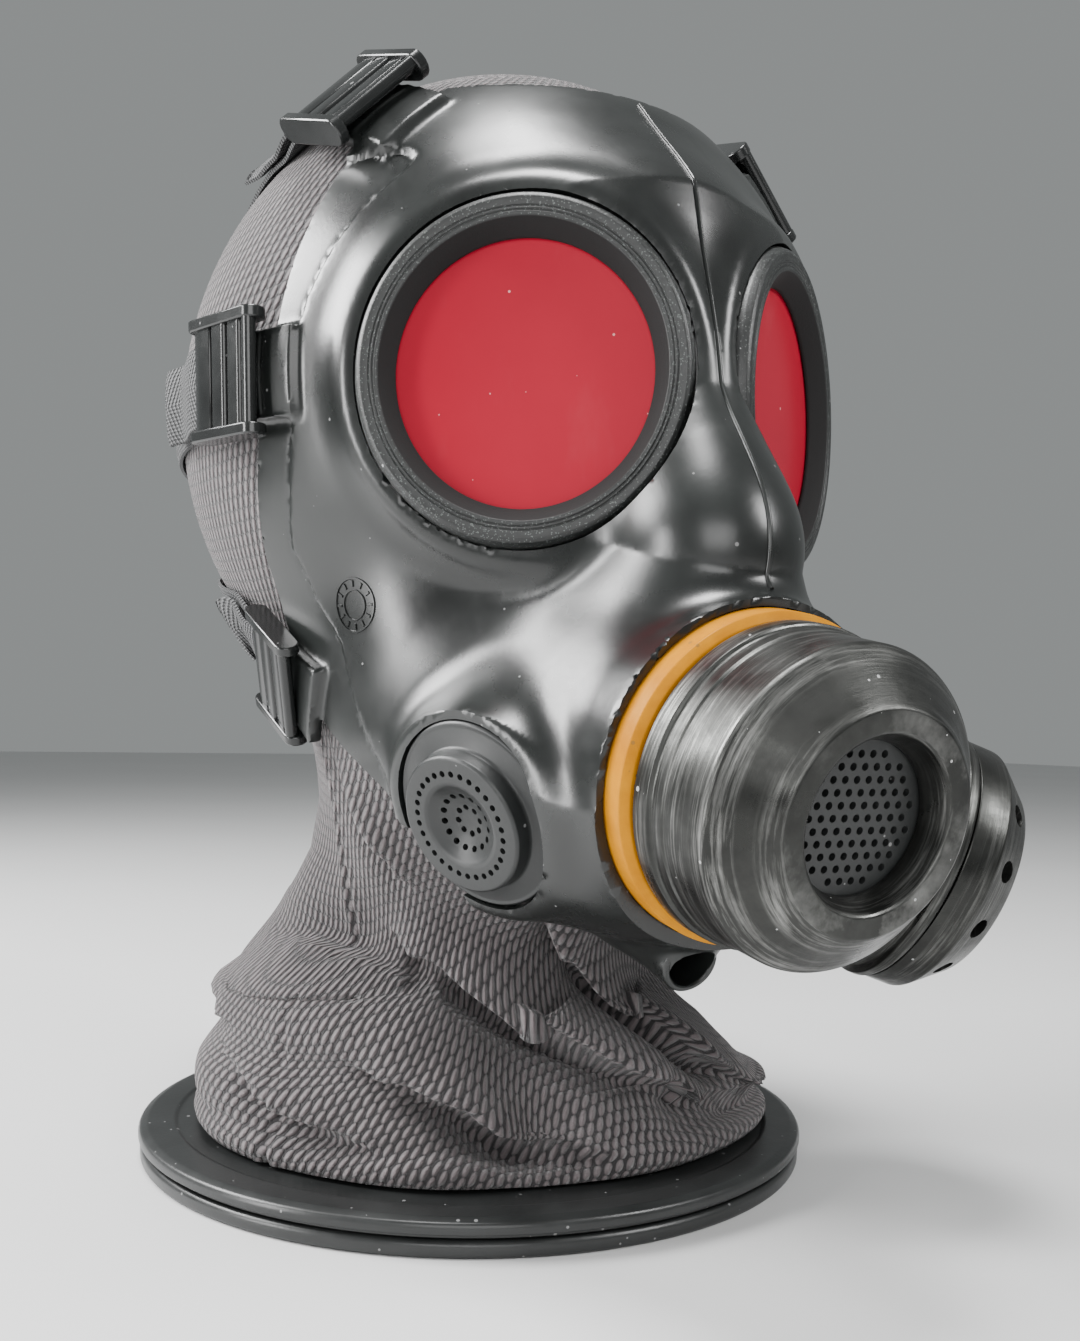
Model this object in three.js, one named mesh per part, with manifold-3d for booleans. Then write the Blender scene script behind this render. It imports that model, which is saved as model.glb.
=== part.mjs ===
// Costume gas mask worn over a knitted hood, on a round display stand of two discs.
// Millimetres, +Z up. The mask faces -Y and its mid-plane is x = 0. The origin is the centre
// of the stand's underside. The wearer's right is at -X.
import * as THREE from "three";
import { mergeVertices } from "three/addons/utils/BufferGeometryUtils.js";
import Module from "manifold-3d";

const wasm = await Module();
wasm.setup();

// Gap between pieces that rest on each other
const SEAT_GAP = 0.3;
// Rubber round and behind each round seat of the facepiece, and how far a seat's cut reaches
const SEAT_WALL = 2.2;
const SEAT_REACH = 16;

// Head form, as the outside of the hood
const HEAD_HALF_WIDTH = 79.6;
const HEAD_HALF_DEPTH = 99;
const HEAD_HALF_HEIGHT = 84.4;
const HEAD_HEIGHT = 200.3;
const HOOD_WALL = 2;
const HOOD_SEAM_HEIGHT = 150;
const NECK_RADIUS = 46;
const SKIRT_RADIUS = 77;

// Rubber facepiece
const RUBBER_WALL = 1.8;
const RUBBER_CLEARANCE = 1.7;
const JAW_HALF_WIDTH = 59;
const JAW_HALF_DEPTH = 54;
const JAW_HALF_HEIGHT = 50;
const JAW_FORWARD = 40.6;
const JAW_HEIGHT = 121.9;
const CHIN_HEIGHT = 72;
const RIM_TOP = 261;
const RIM_OVERLAP = 9;
const FACE_OPENING_LIFT = 20;
// Nose bridge between the eyes, and snout round the port: balls on the mid-plane, each set back
// and up from the eyes' centres or from the port's
const NOSE_BRIDGE = { radius: 35.9, back: 16.7, up: 13 };
const NOSE_TIP = { radius: 7.1, back: -11.9, up: -11.9 };
const SNOUT_TOP = { radius: 17.5, back: 15.6, up: 45.5 };
const SNOUT_MAIN = { radius: 41.9, back: 27.7, up: -0.6 };
// How far each form runs softly into the next one
const BLEND = { jaw: 24, skirt: 20, nose: 12.5, snout: 32.8, chin: 14, lip: 5, eye: 9, cheek: 10 };
// How deep each round boss reaches into the rubber form, and the rounding of its edge
const LIP_BOSS = { depth: 42, edge: 0.6 };
const EYE_BOSS = { depth: 30, edge: 2 };
const CHEEK_BOSS = { depth: 24, edge: 0.8 };

// Eyepieces
const EYE_SPREAD = 36;
const EYE_FORWARD = 91.1;
const EYE_HEIGHT = 194.3;
const EYE_YAW = 35.1;
const EYE_PITCH = 0.95;
const EYE_BOSS_RADIUS = 38;
const BEZEL_RADIUS = 36;
const BEZEL_FACE_RADIUS = 34.5;
const BEZEL_MOUTH_RADIUS = 30.5;
const BEZEL_HEIGHT = 4.4;
const BEZEL_HUB_RADIUS = 31.2;
const BEZEL_HUB_DEPTH = 6;
const BEZEL_HUB_WALL = 1.6;
const BEZEL_LEDGE = 0.8;
const LENS_SIGHT_RADIUS = 27.5;
const LENS_THICKNESS = 2.4;
const LENS_DEPTH = 4.6;

// Front port with its ring and canister
const PORT_FORWARD = 128;
const PORT_HEIGHT = 111.1;
const PORT_PITCH = -10.16;
const PORT_BORE_RADIUS = 29.4;
const PORT_LIP_RADIUS = 36.4;
const PORT_LIP_HEIGHT = 1.6;
const PORT_SEAT = -3.2;
const PORT_FLOOR_INSET = 0.8;
const RING_RADIUS = 34.55;
const RING_LENGTH = 8.3;
const RING_CHAMFER = 1.2;
const CANISTER_RADIUS = 33.2;
const CANISTER_LENGTH = 32.5;
const CANISTER_CONE = 10.7;
const CANISTER_FACE_RADIUS = 21.5;
const CANISTER_WALL = 2.6;
const CANISTER_DRAFT = 1.4;
const CANISTER_EDGE = { radius: 1, length: 1.6 };
const RECESS_RADIUS = 16.5;
const RECESS_DEPTH = 5.3;
const RECESS_TAPER = 1.6;
const NECK_DEPTH = 9;
const GRILLE_THICKNESS = 1.6;
const GRILLE_MARGIN = 0.3;
const GRILLE_LEDGE = 1;
const GRILLE_PITCH = 3.6;
const GRILLE_HOLE = 1.9;

// Cheek ports: the voice port at -X and the side canister at +X
const CHEEK_SPREAD = 43.2;
const CHEEK_FORWARD = 88.6;
const CHEEK_HEIGHT = 101.9;
const CHEEK_YAW = 68.6;
const CHEEK_PITCH = -20.6;
const CHEEK_BOSS_RADIUS = 22.8;
const CHEEK_LIP = 1;
const CHEEK_RECESS = 2.4;
const CHEEK_BORE_RADIUS = 16.6;
const CHEEK_FLOOR = 1;
const CHEEK_HUB_DEPTH = 5;
const VOICE_DISC_RADIUS = 15.75;
const VOICE_DISC_HEIGHT = 6.3;
const VOICE_BOWL_RADIUS = 9.4;
const VOICE_BOWL_DEPTH = 3.6;
const VOICE_WALL = 1.6;
const VOICE_EDGE = 0.6;
const VOICE_FOOT = 3;
const VOICE_RIM = 0.2;
const VOICE_HOLES = 18;
const VOICE_HOLE = 1.4;
const VOICE_HOLE_CIRCLE = 11.9;
const SIDE_RADIUS = 31.6;
const SIDE_LENGTH = 48.2;
const SIDE_BAND = 8.3;
const SIDE_CHAMFER = 8.6;
const SIDE_FACE_RADIUS = 25;
const SIDE_VENTS = 12;
const SIDE_VENT = 5.4;
const SIDE_VENT_REACH = 6;
const SIDE_INSET = 1;
const SIDE_NECK = 6;
const SIDE_SHOULDER = 15;
const SIDE_BEAD = { out: 0.6, width: 3, slope: 0.6 };

// Drink tube under the chin
const TUBE_FORWARD = 108.5;
const TUBE_HEIGHT = 69.4;
const TUBE_PITCH = -20;
const TUBE_RADIUS = 7;
const TUBE_BORE_RADIUS = 5.3;
const TUBE_LENGTH = 20;

// Straps and buckles
const STRAP_WIDTH = 19;
const STRAP_THICKNESS = 1.5;
const BUCKLE_WIDTH = 27;
const BUCKLE_LENGTH = 27;
const BUCKLE_HEIGHT = 6;
const BUCKLE_CHEEK = 2.5;
const BUCKLE_BAR = 5;
const BUCKLE_STAND = 0.5;
const BUCKLE_BAR_GAP = 0.9;
const TAB_THICKNESS = 3.2;

// Stand
const STAND_RADIUS = 95.4;
const STAND_LOWER_INSET = 0.4;
const STAND_LOWER_HEIGHT = 4.4;
const STAND_GROOVE_DEPTH = 1.6;
const STAND_HEIGHT = 9.6;
const STAND_BEVEL = 2.6;
const STAND_RECESS = 0.6;
const STAND_RIM = 10;
const STAND_EDGE = 0.8;
const STAND_GROOVE_HEIGHT = 1;
const STAND_TOP_EDGE = 1.4;

const V = (x, y, z) => new THREE.Vector3(x, y, z);
const AXIS_UP = V(0, 0, 1);
const radians = THREE.MathUtils.degToRad;
const SIDES = { right: -1, left: 1 };

// Sides of the round solids, and turns and rings of the cast shells
const ROUND = { large: 28, medium: 18, cheek: 18, tube: 8, vent: 6, hole: 4 };
const SHELL = { maskTurns: 28, maskRings: 9, hoodTurns: 20, hoodRings: 11 };
const FACE_OPENING_STEPS = 14;

// Tables. Heights are shares of the head's centre height, depths shares of the head's half depth.
const RIM_ROWS = [
  { height: 0.34, back: -0.84 },
  { height: 0.42, back: -0.78 },
  { height: 0.5, back: -0.67 },
  { height: 0.55, back: -0.53 },
  { height: 0.61, back: -0.33 },
  { height: 0.66, back: -0.24 },
  { height: 0.71, back: -0.21 },
  { height: 0.8, back: -0.25 },
  { height: 0.92, back: -0.37 },
  { height: 1.02, back: -0.45 },
  { height: 1.14, back: -0.48 },
  { height: 1.24, back: -0.51 },
  { height: 1.32, back: -0.6 },
];
// Radii of the neck and skirt as shares from the neck radius (0) to the skirt radius (1)
const SKIRT_ROWS = [
  { height: 0, spread: 1.0, back: 0 },
  { height: 0.07, spread: 1.0, back: 0 },
  { height: 0.15, spread: 0.86, back: 0.02 },
  { height: 0.27, spread: 0.42, back: 0.09 },
  { height: 0.36, spread: 0.26, back: 0.04 },
  { height: 0.43, spread: 0.08, back: -0.04 },
  { height: 0.5, spread: 0, back: -0.06 },
  { height: 0.7, spread: 0, back: -0.06 },
];
// Folds of the skirt: where each lies round the hood, in degrees, and how high, wide and deep
const FOLD_ROWS = [
  { turn: -22, height: 0.07, width: 34, rise: 0.05, push: 10 },
  { turn: -75, height: 0.2, width: 22, rise: 0.05, push: 7 },
  { turn: -104, height: 0.14, width: 14, rise: 0.07, push: -7 },
  { turn: -135, height: 0.25, width: 26, rise: 0.05, push: 6 },
  { turn: 178, height: 0.13, width: 24, rise: 0.06, push: 6 },
  { turn: 120, height: 0.1, width: 26, rise: 0.06, push: 5 },
  { turn: 62, height: 0.12, width: 24, rise: 0.06, push: 6 },
];

// Value of one column of a table at a height share, eased between rows
function tableValue(rows, share, column) {
  if (share <= rows[0].height) return rows[0][column];
  for (let i = 1; i < rows.length; i += 1) {
    if (share > rows[i].height) continue;
    const t = (share - rows[i - 1].height) / (rows[i].height - rows[i - 1].height);
    return THREE.MathUtils.lerp(rows[i - 1][column], rows[i][column], t);
  }
  return rows[rows.length - 1][column];
}

// Frame of a round fitting: its centre, its outward axis, and its side of the face
function fitting(spread, forward, height, yaw, pitch, side) {
  const flat = Math.cos(radians(pitch));
  const out = side * Math.sin(radians(yaw)) * flat;
  const axis = V(out, -Math.cos(radians(yaw)) * flat, Math.sin(radians(pitch)));
  return { centre: V(side * spread, -forward, height), axis };
}

const EYES = {
  right: fitting(EYE_SPREAD, EYE_FORWARD, EYE_HEIGHT, EYE_YAW, EYE_PITCH, SIDES.right),
  left: fitting(EYE_SPREAD, EYE_FORWARD, EYE_HEIGHT, EYE_YAW, EYE_PITCH, SIDES.left),
};
const CHEEKS = {
  right: fitting(CHEEK_SPREAD, CHEEK_FORWARD, CHEEK_HEIGHT, CHEEK_YAW, CHEEK_PITCH, SIDES.right),
  left: fitting(CHEEK_SPREAD, CHEEK_FORWARD, CHEEK_HEIGHT, CHEEK_YAW, CHEEK_PITCH, SIDES.left),
};
const PORT = fitting(0, PORT_FORWARD, PORT_HEIGHT, 0, PORT_PITCH, SIDES.right);
const TUBE = fitting(0, TUBE_FORWARD, TUBE_HEIGHT, 0, TUBE_PITCH, SIDES.right);

// Distances to simple forms, negative inside
function blend(a, b, width) {
  const overlap = Math.max(width - Math.abs(a - b), 0) / width;
  return Math.min(a, b) - (overlap * overlap * width) / 4;
}

function ellipsoidDistance(p, centre, half) {
  const x = p.x - centre.x;
  const y = p.y - centre.y;
  const z = p.z - centre.z;
  const k0 = Math.hypot(x / half.x, y / half.y, z / half.z);
  const k1 = Math.hypot(x / half.x ** 2, y / half.y ** 2, z / half.z ** 2);
  return (k0 * (k0 - 1)) / Math.max(k1, 1e-6);
}

// Two balls on the mid-plane with the cone between them
function ballsDistance(p, a, b) {
  const along = b.centre.clone().sub(a.centre);
  const share = THREE.MathUtils.clamp(p.clone().sub(a.centre).dot(along) / along.lengthSq(), 0, 1);
  const nearest = a.centre.clone().addScaledVector(along, share);
  return p.distanceTo(nearest) - THREE.MathUtils.lerp(a.radius, b.radius, share);
}

// A round boss on a fitting's axis, from its depth up to high along it, with a rounded edge
function bossDistance(p, frame, radius, high, { depth, edge }) {
  const low = -depth;
  const from = p.clone().sub(frame.centre);
  const along = from.dot(frame.axis);
  const out = from.addScaledVector(frame.axis, -along).length();
  const beside = out - (radius - edge);
  const beyond = Math.abs(along - (low + high) / 2) - ((high - low) / 2 - edge);
  return Math.min(Math.max(beside, beyond), 0) + Math.hypot(Math.max(beside, 0), Math.max(beyond, 0)) - edge;
}

// Head and jaw, grown by a margin: the hood's outside at 0, and the base form of the rubber
function headDistance(p, margin) {
  const skull = V(HEAD_HALF_WIDTH + margin, HEAD_HALF_DEPTH + margin, HEAD_HALF_HEIGHT + margin);
  const grow = margin - RUBBER_WALL - RUBBER_CLEARANCE;
  const jaw = V(JAW_HALF_WIDTH + grow, JAW_HALF_DEPTH + grow, JAW_HALF_HEIGHT + grow);
  const skullGap = ellipsoidDistance(p, V(0, 0, HEAD_HEIGHT), skull);
  const jawGap = ellipsoidDistance(p, V(0, -JAW_FORWARD, JAW_HEIGHT), jaw);
  return blend(skullGap, jawGap, BLEND.jaw);
}

function ballAt(forward, height, { radius, back, up }) {
  return { centre: V(0, back - forward, height + up), radius };
}

const NOSE = [ballAt(EYE_FORWARD, EYE_HEIGHT, NOSE_BRIDGE), ballAt(EYE_FORWARD, EYE_HEIGHT, NOSE_TIP)];
const SNOUT = [ballAt(PORT_FORWARD, PORT_HEIGHT, SNOUT_TOP), ballAt(PORT_FORWARD, PORT_HEIGHT, SNOUT_MAIN)];

// Outside of the rubber: head, nose and snout, flat under the chin, with its round bosses
function rubberDistance(point) {
  const p = V(Math.abs(point.x), point.y, point.z);
  const lift = RUBBER_WALL + RUBBER_CLEARANCE;
  let gap = Math.min(headDistance(p, lift), hoodDistance(p) - lift);
  gap = blend(gap, ballsDistance(p, NOSE[0], NOSE[1]), BLEND.nose);
  gap = blend(gap, ballsDistance(p, SNOUT[0], SNOUT[1]), BLEND.snout);
  gap = -blend(-gap, p.z - CHIN_HEIGHT, BLEND.chin);
  const lipFace = PORT_SEAT + PORT_LIP_HEIGHT;
  gap = blend(gap, bossDistance(p, PORT, PORT_LIP_RADIUS, lipFace, LIP_BOSS), BLEND.lip);
  gap = Math.max(gap, p.clone().sub(PORT.centre).dot(PORT.axis) - lipFace);
  const eyeSeat = -BEZEL_HEIGHT - SEAT_GAP;
  gap = blend(gap, bossDistance(p, EYES.left, EYE_BOSS_RADIUS, eyeSeat, EYE_BOSS), BLEND.eye);
  return blend(gap, bossDistance(p, CHEEKS.left, CHEEK_BOSS_RADIUS, 0, CHEEK_BOSS), BLEND.cheek);
}

// Neck and skirt of the hood: round sections by height, with the folds pushed in or out. Its
// slanted wall is nearer than it looks straight out, and it ends inside the head form.
const SKIRT_SLOPE = 0.8;
const NECK_TOP = 0.7;

function skirtDistance(p) {
  const share = p.z / HEAD_HEIGHT;
  const back = tableValue(SKIRT_ROWS, share, "back") * HEAD_HALF_DEPTH;
  const spread = tableValue(SKIRT_ROWS, share, "spread");
  let radius = THREE.MathUtils.lerp(NECK_RADIUS, SKIRT_RADIUS, spread);
  const turn = THREE.MathUtils.radToDeg(Math.atan2(p.y - back, p.x));
  for (const fold of FOLD_ROWS) {
    const off = THREE.MathUtils.euclideanModulo(turn - fold.turn + 180, 360) - 180;
    radius += fold.push * Math.exp(-((off / fold.width) ** 2) - ((share - fold.height) / fold.rise) ** 2);
  }
  const beside = Math.hypot(p.x, p.y - back) - radius;
  return Math.max(beside * SKIRT_SLOPE, p.z - HEAD_HEIGHT * NECK_TOP);
}

function hoodDistance(p) {
  return blend(headDistance(p, 0), skirtDistance(p), BLEND.skirt);
}

// Outermost point of a form along a direction from a centre
function castOut(form, centre, direction, level, reach) {
  const step = 3;
  let inside = 0;
  for (let t = reach; t > 0; t -= step) {
    if (form(centre.clone().addScaledVector(direction, t)) < level) {
      inside = t;
      break;
    }
  }
  let low = inside;
  let high = inside + step;
  for (let i = 0; i < 9; i += 1) {
    const middle = (low + high) / 2;
    if (form(centre.clone().addScaledVector(direction, middle)) < level) low = middle;
    else high = middle;
  }
  return centre.clone().addScaledVector(direction, low);
}

// Rings of a form round a pole, out to where keep(point) ends
function castRings(form, keep, view, level, turns, rings) {
  const { centre, pole, reach } = view;
  const across = V(1, 0, 0);
  const upward = pole.clone().cross(across).normalize();
  const aim = (tilt, turn) =>
    pole
      .clone()
      .multiplyScalar(Math.cos(tilt))
      .addScaledVector(across, Math.sin(tilt) * Math.cos(turn))
      .addScaledVector(upward, Math.sin(tilt) * Math.sin(turn));
  const columns = [];
  for (let j = 0; j < turns; j += 1) {
    const turn = (j / turns) * Math.PI * 2;
    let low = 0.1;
    let high = view.widest;
    for (let i = 0; i < 11; i += 1) {
      const middle = (low + high) / 2;
      if (keep(castOut(form, centre, aim(middle, turn), level, reach))) low = middle;
      else high = middle;
    }
    const column = [];
    for (let i = 1; i <= rings; i += 1) {
      column.push(castOut(form, centre, aim((low * i) / rings, turn), level, reach));
    }
    columns.push(column);
  }
  return { tip: castOut(form, centre, pole, level, reach), columns };
}

// Geometry from points and triangles
function meshGeometry(points, faces) {
  const geometry = new THREE.BufferGeometry();
  const numbers = points.flatMap((p) => [p.x, p.y, p.z]);
  geometry.setAttribute("position", new THREE.Float32BufferAttribute(numbers, 3));
  geometry.setIndex(faces.flat());
  return geometry;
}

// Closed cup from an outer and an inner set of rings, joined along the rim
function cupGeometry(outer, inner) {
  const turns = outer.columns.length;
  const rings = outer.columns[0].length;
  const points = [outer.tip, ...outer.columns.flat(), inner.tip, ...inner.columns.flat()];
  const half = 1 + turns * rings;
  const at = (side, j, i) => side * half + 1 + (j % turns) * rings + i;
  const faces = [];
  for (let j = 0; j < turns; j += 1) {
    faces.push([0, at(0, j, 0), at(0, j + 1, 0)]);
    faces.push([half, at(1, j + 1, 0), at(1, j, 0)]);
    for (let i = 0; i < rings - 1; i += 1) {
      faces.push([at(0, j, i), at(0, j, i + 1), at(0, j + 1, i + 1)]);
      faces.push([at(0, j, i), at(0, j + 1, i + 1), at(0, j + 1, i)]);
      faces.push([at(1, j, i), at(1, j + 1, i + 1), at(1, j, i + 1)]);
      faces.push([at(1, j, i), at(1, j + 1, i), at(1, j + 1, i + 1)]);
    }
    const last = rings - 1;
    faces.push([at(0, j, last), at(1, j, last), at(1, j + 1, last)]);
    faces.push([at(0, j, last), at(1, j + 1, last), at(0, j + 1, last)]);
  }
  return meshGeometry(points, faces);
}

// Solid from a closed geometry: vertices merged, flat triangles dropped, faces turned out
function toSolid(geometry) {
  const plain = new THREE.BufferGeometry();
  plain.setAttribute("position", geometry.getAttribute("position"));
  plain.setIndex(geometry.index);
  const merged = mergeVertices(plain, 1e-4);
  const position = merged.getAttribute("position");
  const corner = (i) => new THREE.Vector3().fromBufferAttribute(position, i);
  const source = merged.index.array;
  const kept = [];
  let volume = 0;
  for (let i = 0; i < source.length; i += 3) {
    const [a, b, c] = [source[i], source[i + 1], source[i + 2]];
    if (a === b || b === c || c === a) continue;
    kept.push([a, b, c]);
    volume += corner(a).dot(corner(b).cross(corner(c)));
  }
  const turned = volume > 0 ? kept : kept.map(([a, b, c]) => [a, c, b]);
  return new wasm.Manifold(
    new wasm.Mesh({
      numProp: 3,
      vertProperties: Float32Array.from(position.array),
      triVerts: Uint32Array.from(turned.flat()),
    }),
  );
}

function toGeometry(solid) {
  const mesh = solid.getMesh();
  const geometry = new THREE.BufferGeometry();
  geometry.setAttribute("position", new THREE.BufferAttribute(Float32Array.from(mesh.vertProperties), 3));
  geometry.setIndex(new THREE.BufferAttribute(Uint32Array.from(mesh.triVerts), 1));
  return geometry;
}

// Round solid on a fitting's axis; each profile row is [radius, distance along the axis]
function turnedSolid(frame, profile, sides) {
  const loop = profile[0][0] === 0 ? profile : [...profile, profile[0]];
  const lathe = new THREE.LatheGeometry(loop.map(([r, s]) => new THREE.Vector2(r, s)), sides);
  lathe.applyQuaternion(new THREE.Quaternion().setFromUnitVectors(V(0, 1, 0), frame.axis));
  return toSolid(lathe.translate(frame.centre.x, frame.centre.y, frame.centre.z));
}

const turnedGeometry = (frame, profile, sides) => toGeometry(turnedSolid(frame, profile, sides));

function rodSolid(frame, radius, low, high, sides) {
  return turnedSolid(frame, [[0, low], [radius, low], [radius, high], [0, high]], sides);
}

const AMBER = { color: "#e0a21c", roughness: 0.5, metalness: 0 };
const RED_LENS = { color: "#c9283a", roughness: 0.2, metalness: 0 };
const WEBBING = { color: "#3b3d3c", roughness: 0.9, metalness: 0 };
const RUBBER = { color: "#1c1f1e", roughness: 0.35, metalness: 0 };
const BLACK_PLASTIC = { color: "#17191a", roughness: 0.5, metalness: 0 };
const GUNMETAL = { color: "#33352f", roughness: 0.4, metalness: 0.8 };
const KNIT = { color: "#4a4244", roughness: 0.95, metalness: 0 };

const mask = new THREE.Group();

function addPiece(name, geometry, look) {
  const piece = new THREE.Mesh(geometry, new THREE.MeshStandardMaterial(look));
  piece.name = name;
  piece.geometry.computeVertexNormals();
  mask.add(piece);
}

// Height and depth of the facepiece's rear rim
function rimDepth(height) {
  return tableValue(RIM_ROWS, height / HEAD_HEIGHT, "back") * HEAD_HALF_DEPTH;
}

// Point of the hood seen from the head's centre towards a place, with its outward normal
function hoodStop(place, lift) {
  const centre = V(0, 0, HEAD_HEIGHT);
  const surface = castOut(hoodDistance, centre, place.clone().sub(centre).normalize(), 0, 150);
  const e = 0.5;
  const slope = (axis) => {
    const ahead = hoodDistance(surface.clone().addScaledVector(axis, e));
    return ahead - hoodDistance(surface.clone().addScaledVector(axis, -e));
  };
  const normal = V(slope(V(1, 0, 0)), slope(V(0, 1, 0)), slope(AXIS_UP)).normalize();
  return { surface, normal, point: surface.clone().addScaledVector(normal, lift) };
}

// Stops along a route of places, evenly between them, each lifted off the hood by liftAt(share)
function routeStops(places, stepsEach, liftAt) {
  const last = places.length - 1;
  const stops = [];
  for (let i = 0; i <= last * stepsEach; i += 1) {
    const leg = Math.min(Math.floor(i / stepsEach), last - 1);
    const place = places[leg].clone().lerp(places[leg + 1], i / stepsEach - leg);
    stops.push(hoodStop(place, liftAt(i / (last * stepsEach))));
  }
  return stops;
}

// Flat band along a route, standing on its points
function bandGeometry(route, width, thickness) {
  const points = [];
  route.forEach((stop, i) => {
    const before = route[Math.max(i - 1, 0)].point;
    const after = route[Math.min(i + 1, route.length - 1)].point;
    const side = after.clone().sub(before).normalize().cross(stop.normal).normalize();
    for (const [across, up] of [[-0.5, 0], [0.5, 0], [0.5, 1], [-0.5, 1]]) {
      const edge = stop.point.clone().addScaledVector(side, across * width);
      points.push(edge.addScaledVector(stop.normal, up * thickness));
    }
  });
  const faces = [[0, 1, 2], [0, 2, 3]];
  for (let i = 0; i < route.length - 1; i += 1) {
    for (let k = 0; k < 4; k += 1) {
      const a = i * 4 + k;
      const b = i * 4 + ((k + 1) % 4);
      faces.push([a, a + 4, b + 4], [a, b + 4, b]);
    }
  }
  const end = (route.length - 1) * 4;
  faces.push([end, end + 2, end + 1], [end, end + 3, end + 2]);
  return meshGeometry(points, faces);
}

// Places of the three straps at the wearer's right, from the head's centre in shares of its half
// sizes; the left ones mirror them. Each starts on the rubber, passes its buckle's middle and
// goes on round the hood.
const STRAP_PLACES = {
  temple: [
    [-0.829, -0.626, -0.039], [-0.98, -0.343, -0.027], [-1.005, 0.04, -0.015], [-0.729, 0.707, -0.027],
    [0, 1.01, -0.039],
  ],
  cheek: [
    [-0.729, -0.465, -0.975], [-0.791, -0.192, -0.857], [-0.854, 0.141, -0.691], [-0.578, 0.626, -0.501],
    [0, 0.848, -0.454],
  ],
  top: [
    [-0.59, -0.707, 0.541], [-0.653, -0.424, 0.684], [-0.653, 0.141, 0.731], [-0.503, 0.707, 0.423],
    [-0.176, 0.99, 0.032],
  ],
};
const onHead = ([x, y, z]) => V(x * HEAD_HALF_WIDTH, y * HEAD_HALF_DEPTH, HEAD_HEIGHT + z * HEAD_HALF_HEIGHT);
const STRAP_ROUTES = {
  temple: STRAP_PLACES.temple.map(onHead),
  cheek: STRAP_PLACES.cheek.map(onHead),
  top: STRAP_PLACES.top.map(onHead),
};
const mirrorPlace = (place, side) => V(-place.x * side, place.y, place.z);

// Rubber stands this far off the hood, and each strap rides on it through the buckle
const RUBBER_LIFT = RUBBER_WALL + RUBBER_CLEARANCE;
const STRAP_EDGE_RISE = STRAP_WIDTH ** 2 / (8 * HEAD_HALF_WIDTH);
const TAB_EMBED = 1.3;
const TAB_LIFT = RUBBER_LIFT - TAB_EMBED;
const WEB_TOP_LIFT = TAB_LIFT + TAB_THICKNESS - STRAP_THICKNESS;
const WEB_LOW_LIFT = 0.5;

// Rubber tab from the facepiece to the middle of a buckle
function tabSolid(name, side) {
  const route = STRAP_ROUTES[name].slice(0, 2).map((place) => mirrorPlace(place, side));
  const ended = [route[0], route[1].clone().lerp(route[0], 0.06)];
  return toSolid(bandGeometry(routeStops(ended, 4, () => TAB_LIFT), STRAP_WIDTH, TAB_THICKNESS));
}

// Lift of the webbing: high in the buckle, then down onto the hood
function webLift(distance) {
  const share = THREE.MathUtils.smoothstep(distance, BUCKLE_LENGTH * 0.5, BUCKLE_LENGTH * 1.2);
  return THREE.MathUtils.lerp(WEB_TOP_LIFT, WEB_LOW_LIFT, share);
}

// Webbing of a strap that runs round the head from buckle to buckle
function loopStrap(name) {
  const right = STRAP_ROUTES[name].slice(1);
  const back = right.slice(0, -1).reverse().map((place) => V(-place.x, place.y, place.z));
  const places = [...right, ...back];
  let span = 0;
  for (let i = 1; i < places.length; i += 1) span += places[i].distanceTo(places[i - 1]);
  const lift = (share) => webLift(Math.min(share, 1 - share) * span);
  return bandGeometry(routeStops(places, 5, lift), STRAP_WIDTH, STRAP_THICKNESS);
}

// Webbing over the crown, whose rear end lies on the temple strap
function topStrap(side) {
  const places = STRAP_ROUTES.top.slice(1).map((place) => mirrorPlace(place, side));
  let span = 0;
  for (let i = 1; i < places.length; i += 1) span += places[i].distanceTo(places[i - 1]);
  const onTemple = WEB_LOW_LIFT + STRAP_THICKNESS + STRAP_EDGE_RISE + SEAT_GAP;
  const lift = (share) => {
    const joined = THREE.MathUtils.smoothstep(share * span, span - STRAP_WIDTH * 2, span - STRAP_WIDTH);
    return Math.max(webLift(share * span), onTemple * joined);
  };
  return bandGeometry(routeStops(places, 6, lift), STRAP_WIDTH, STRAP_THICKNESS);
}

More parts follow.
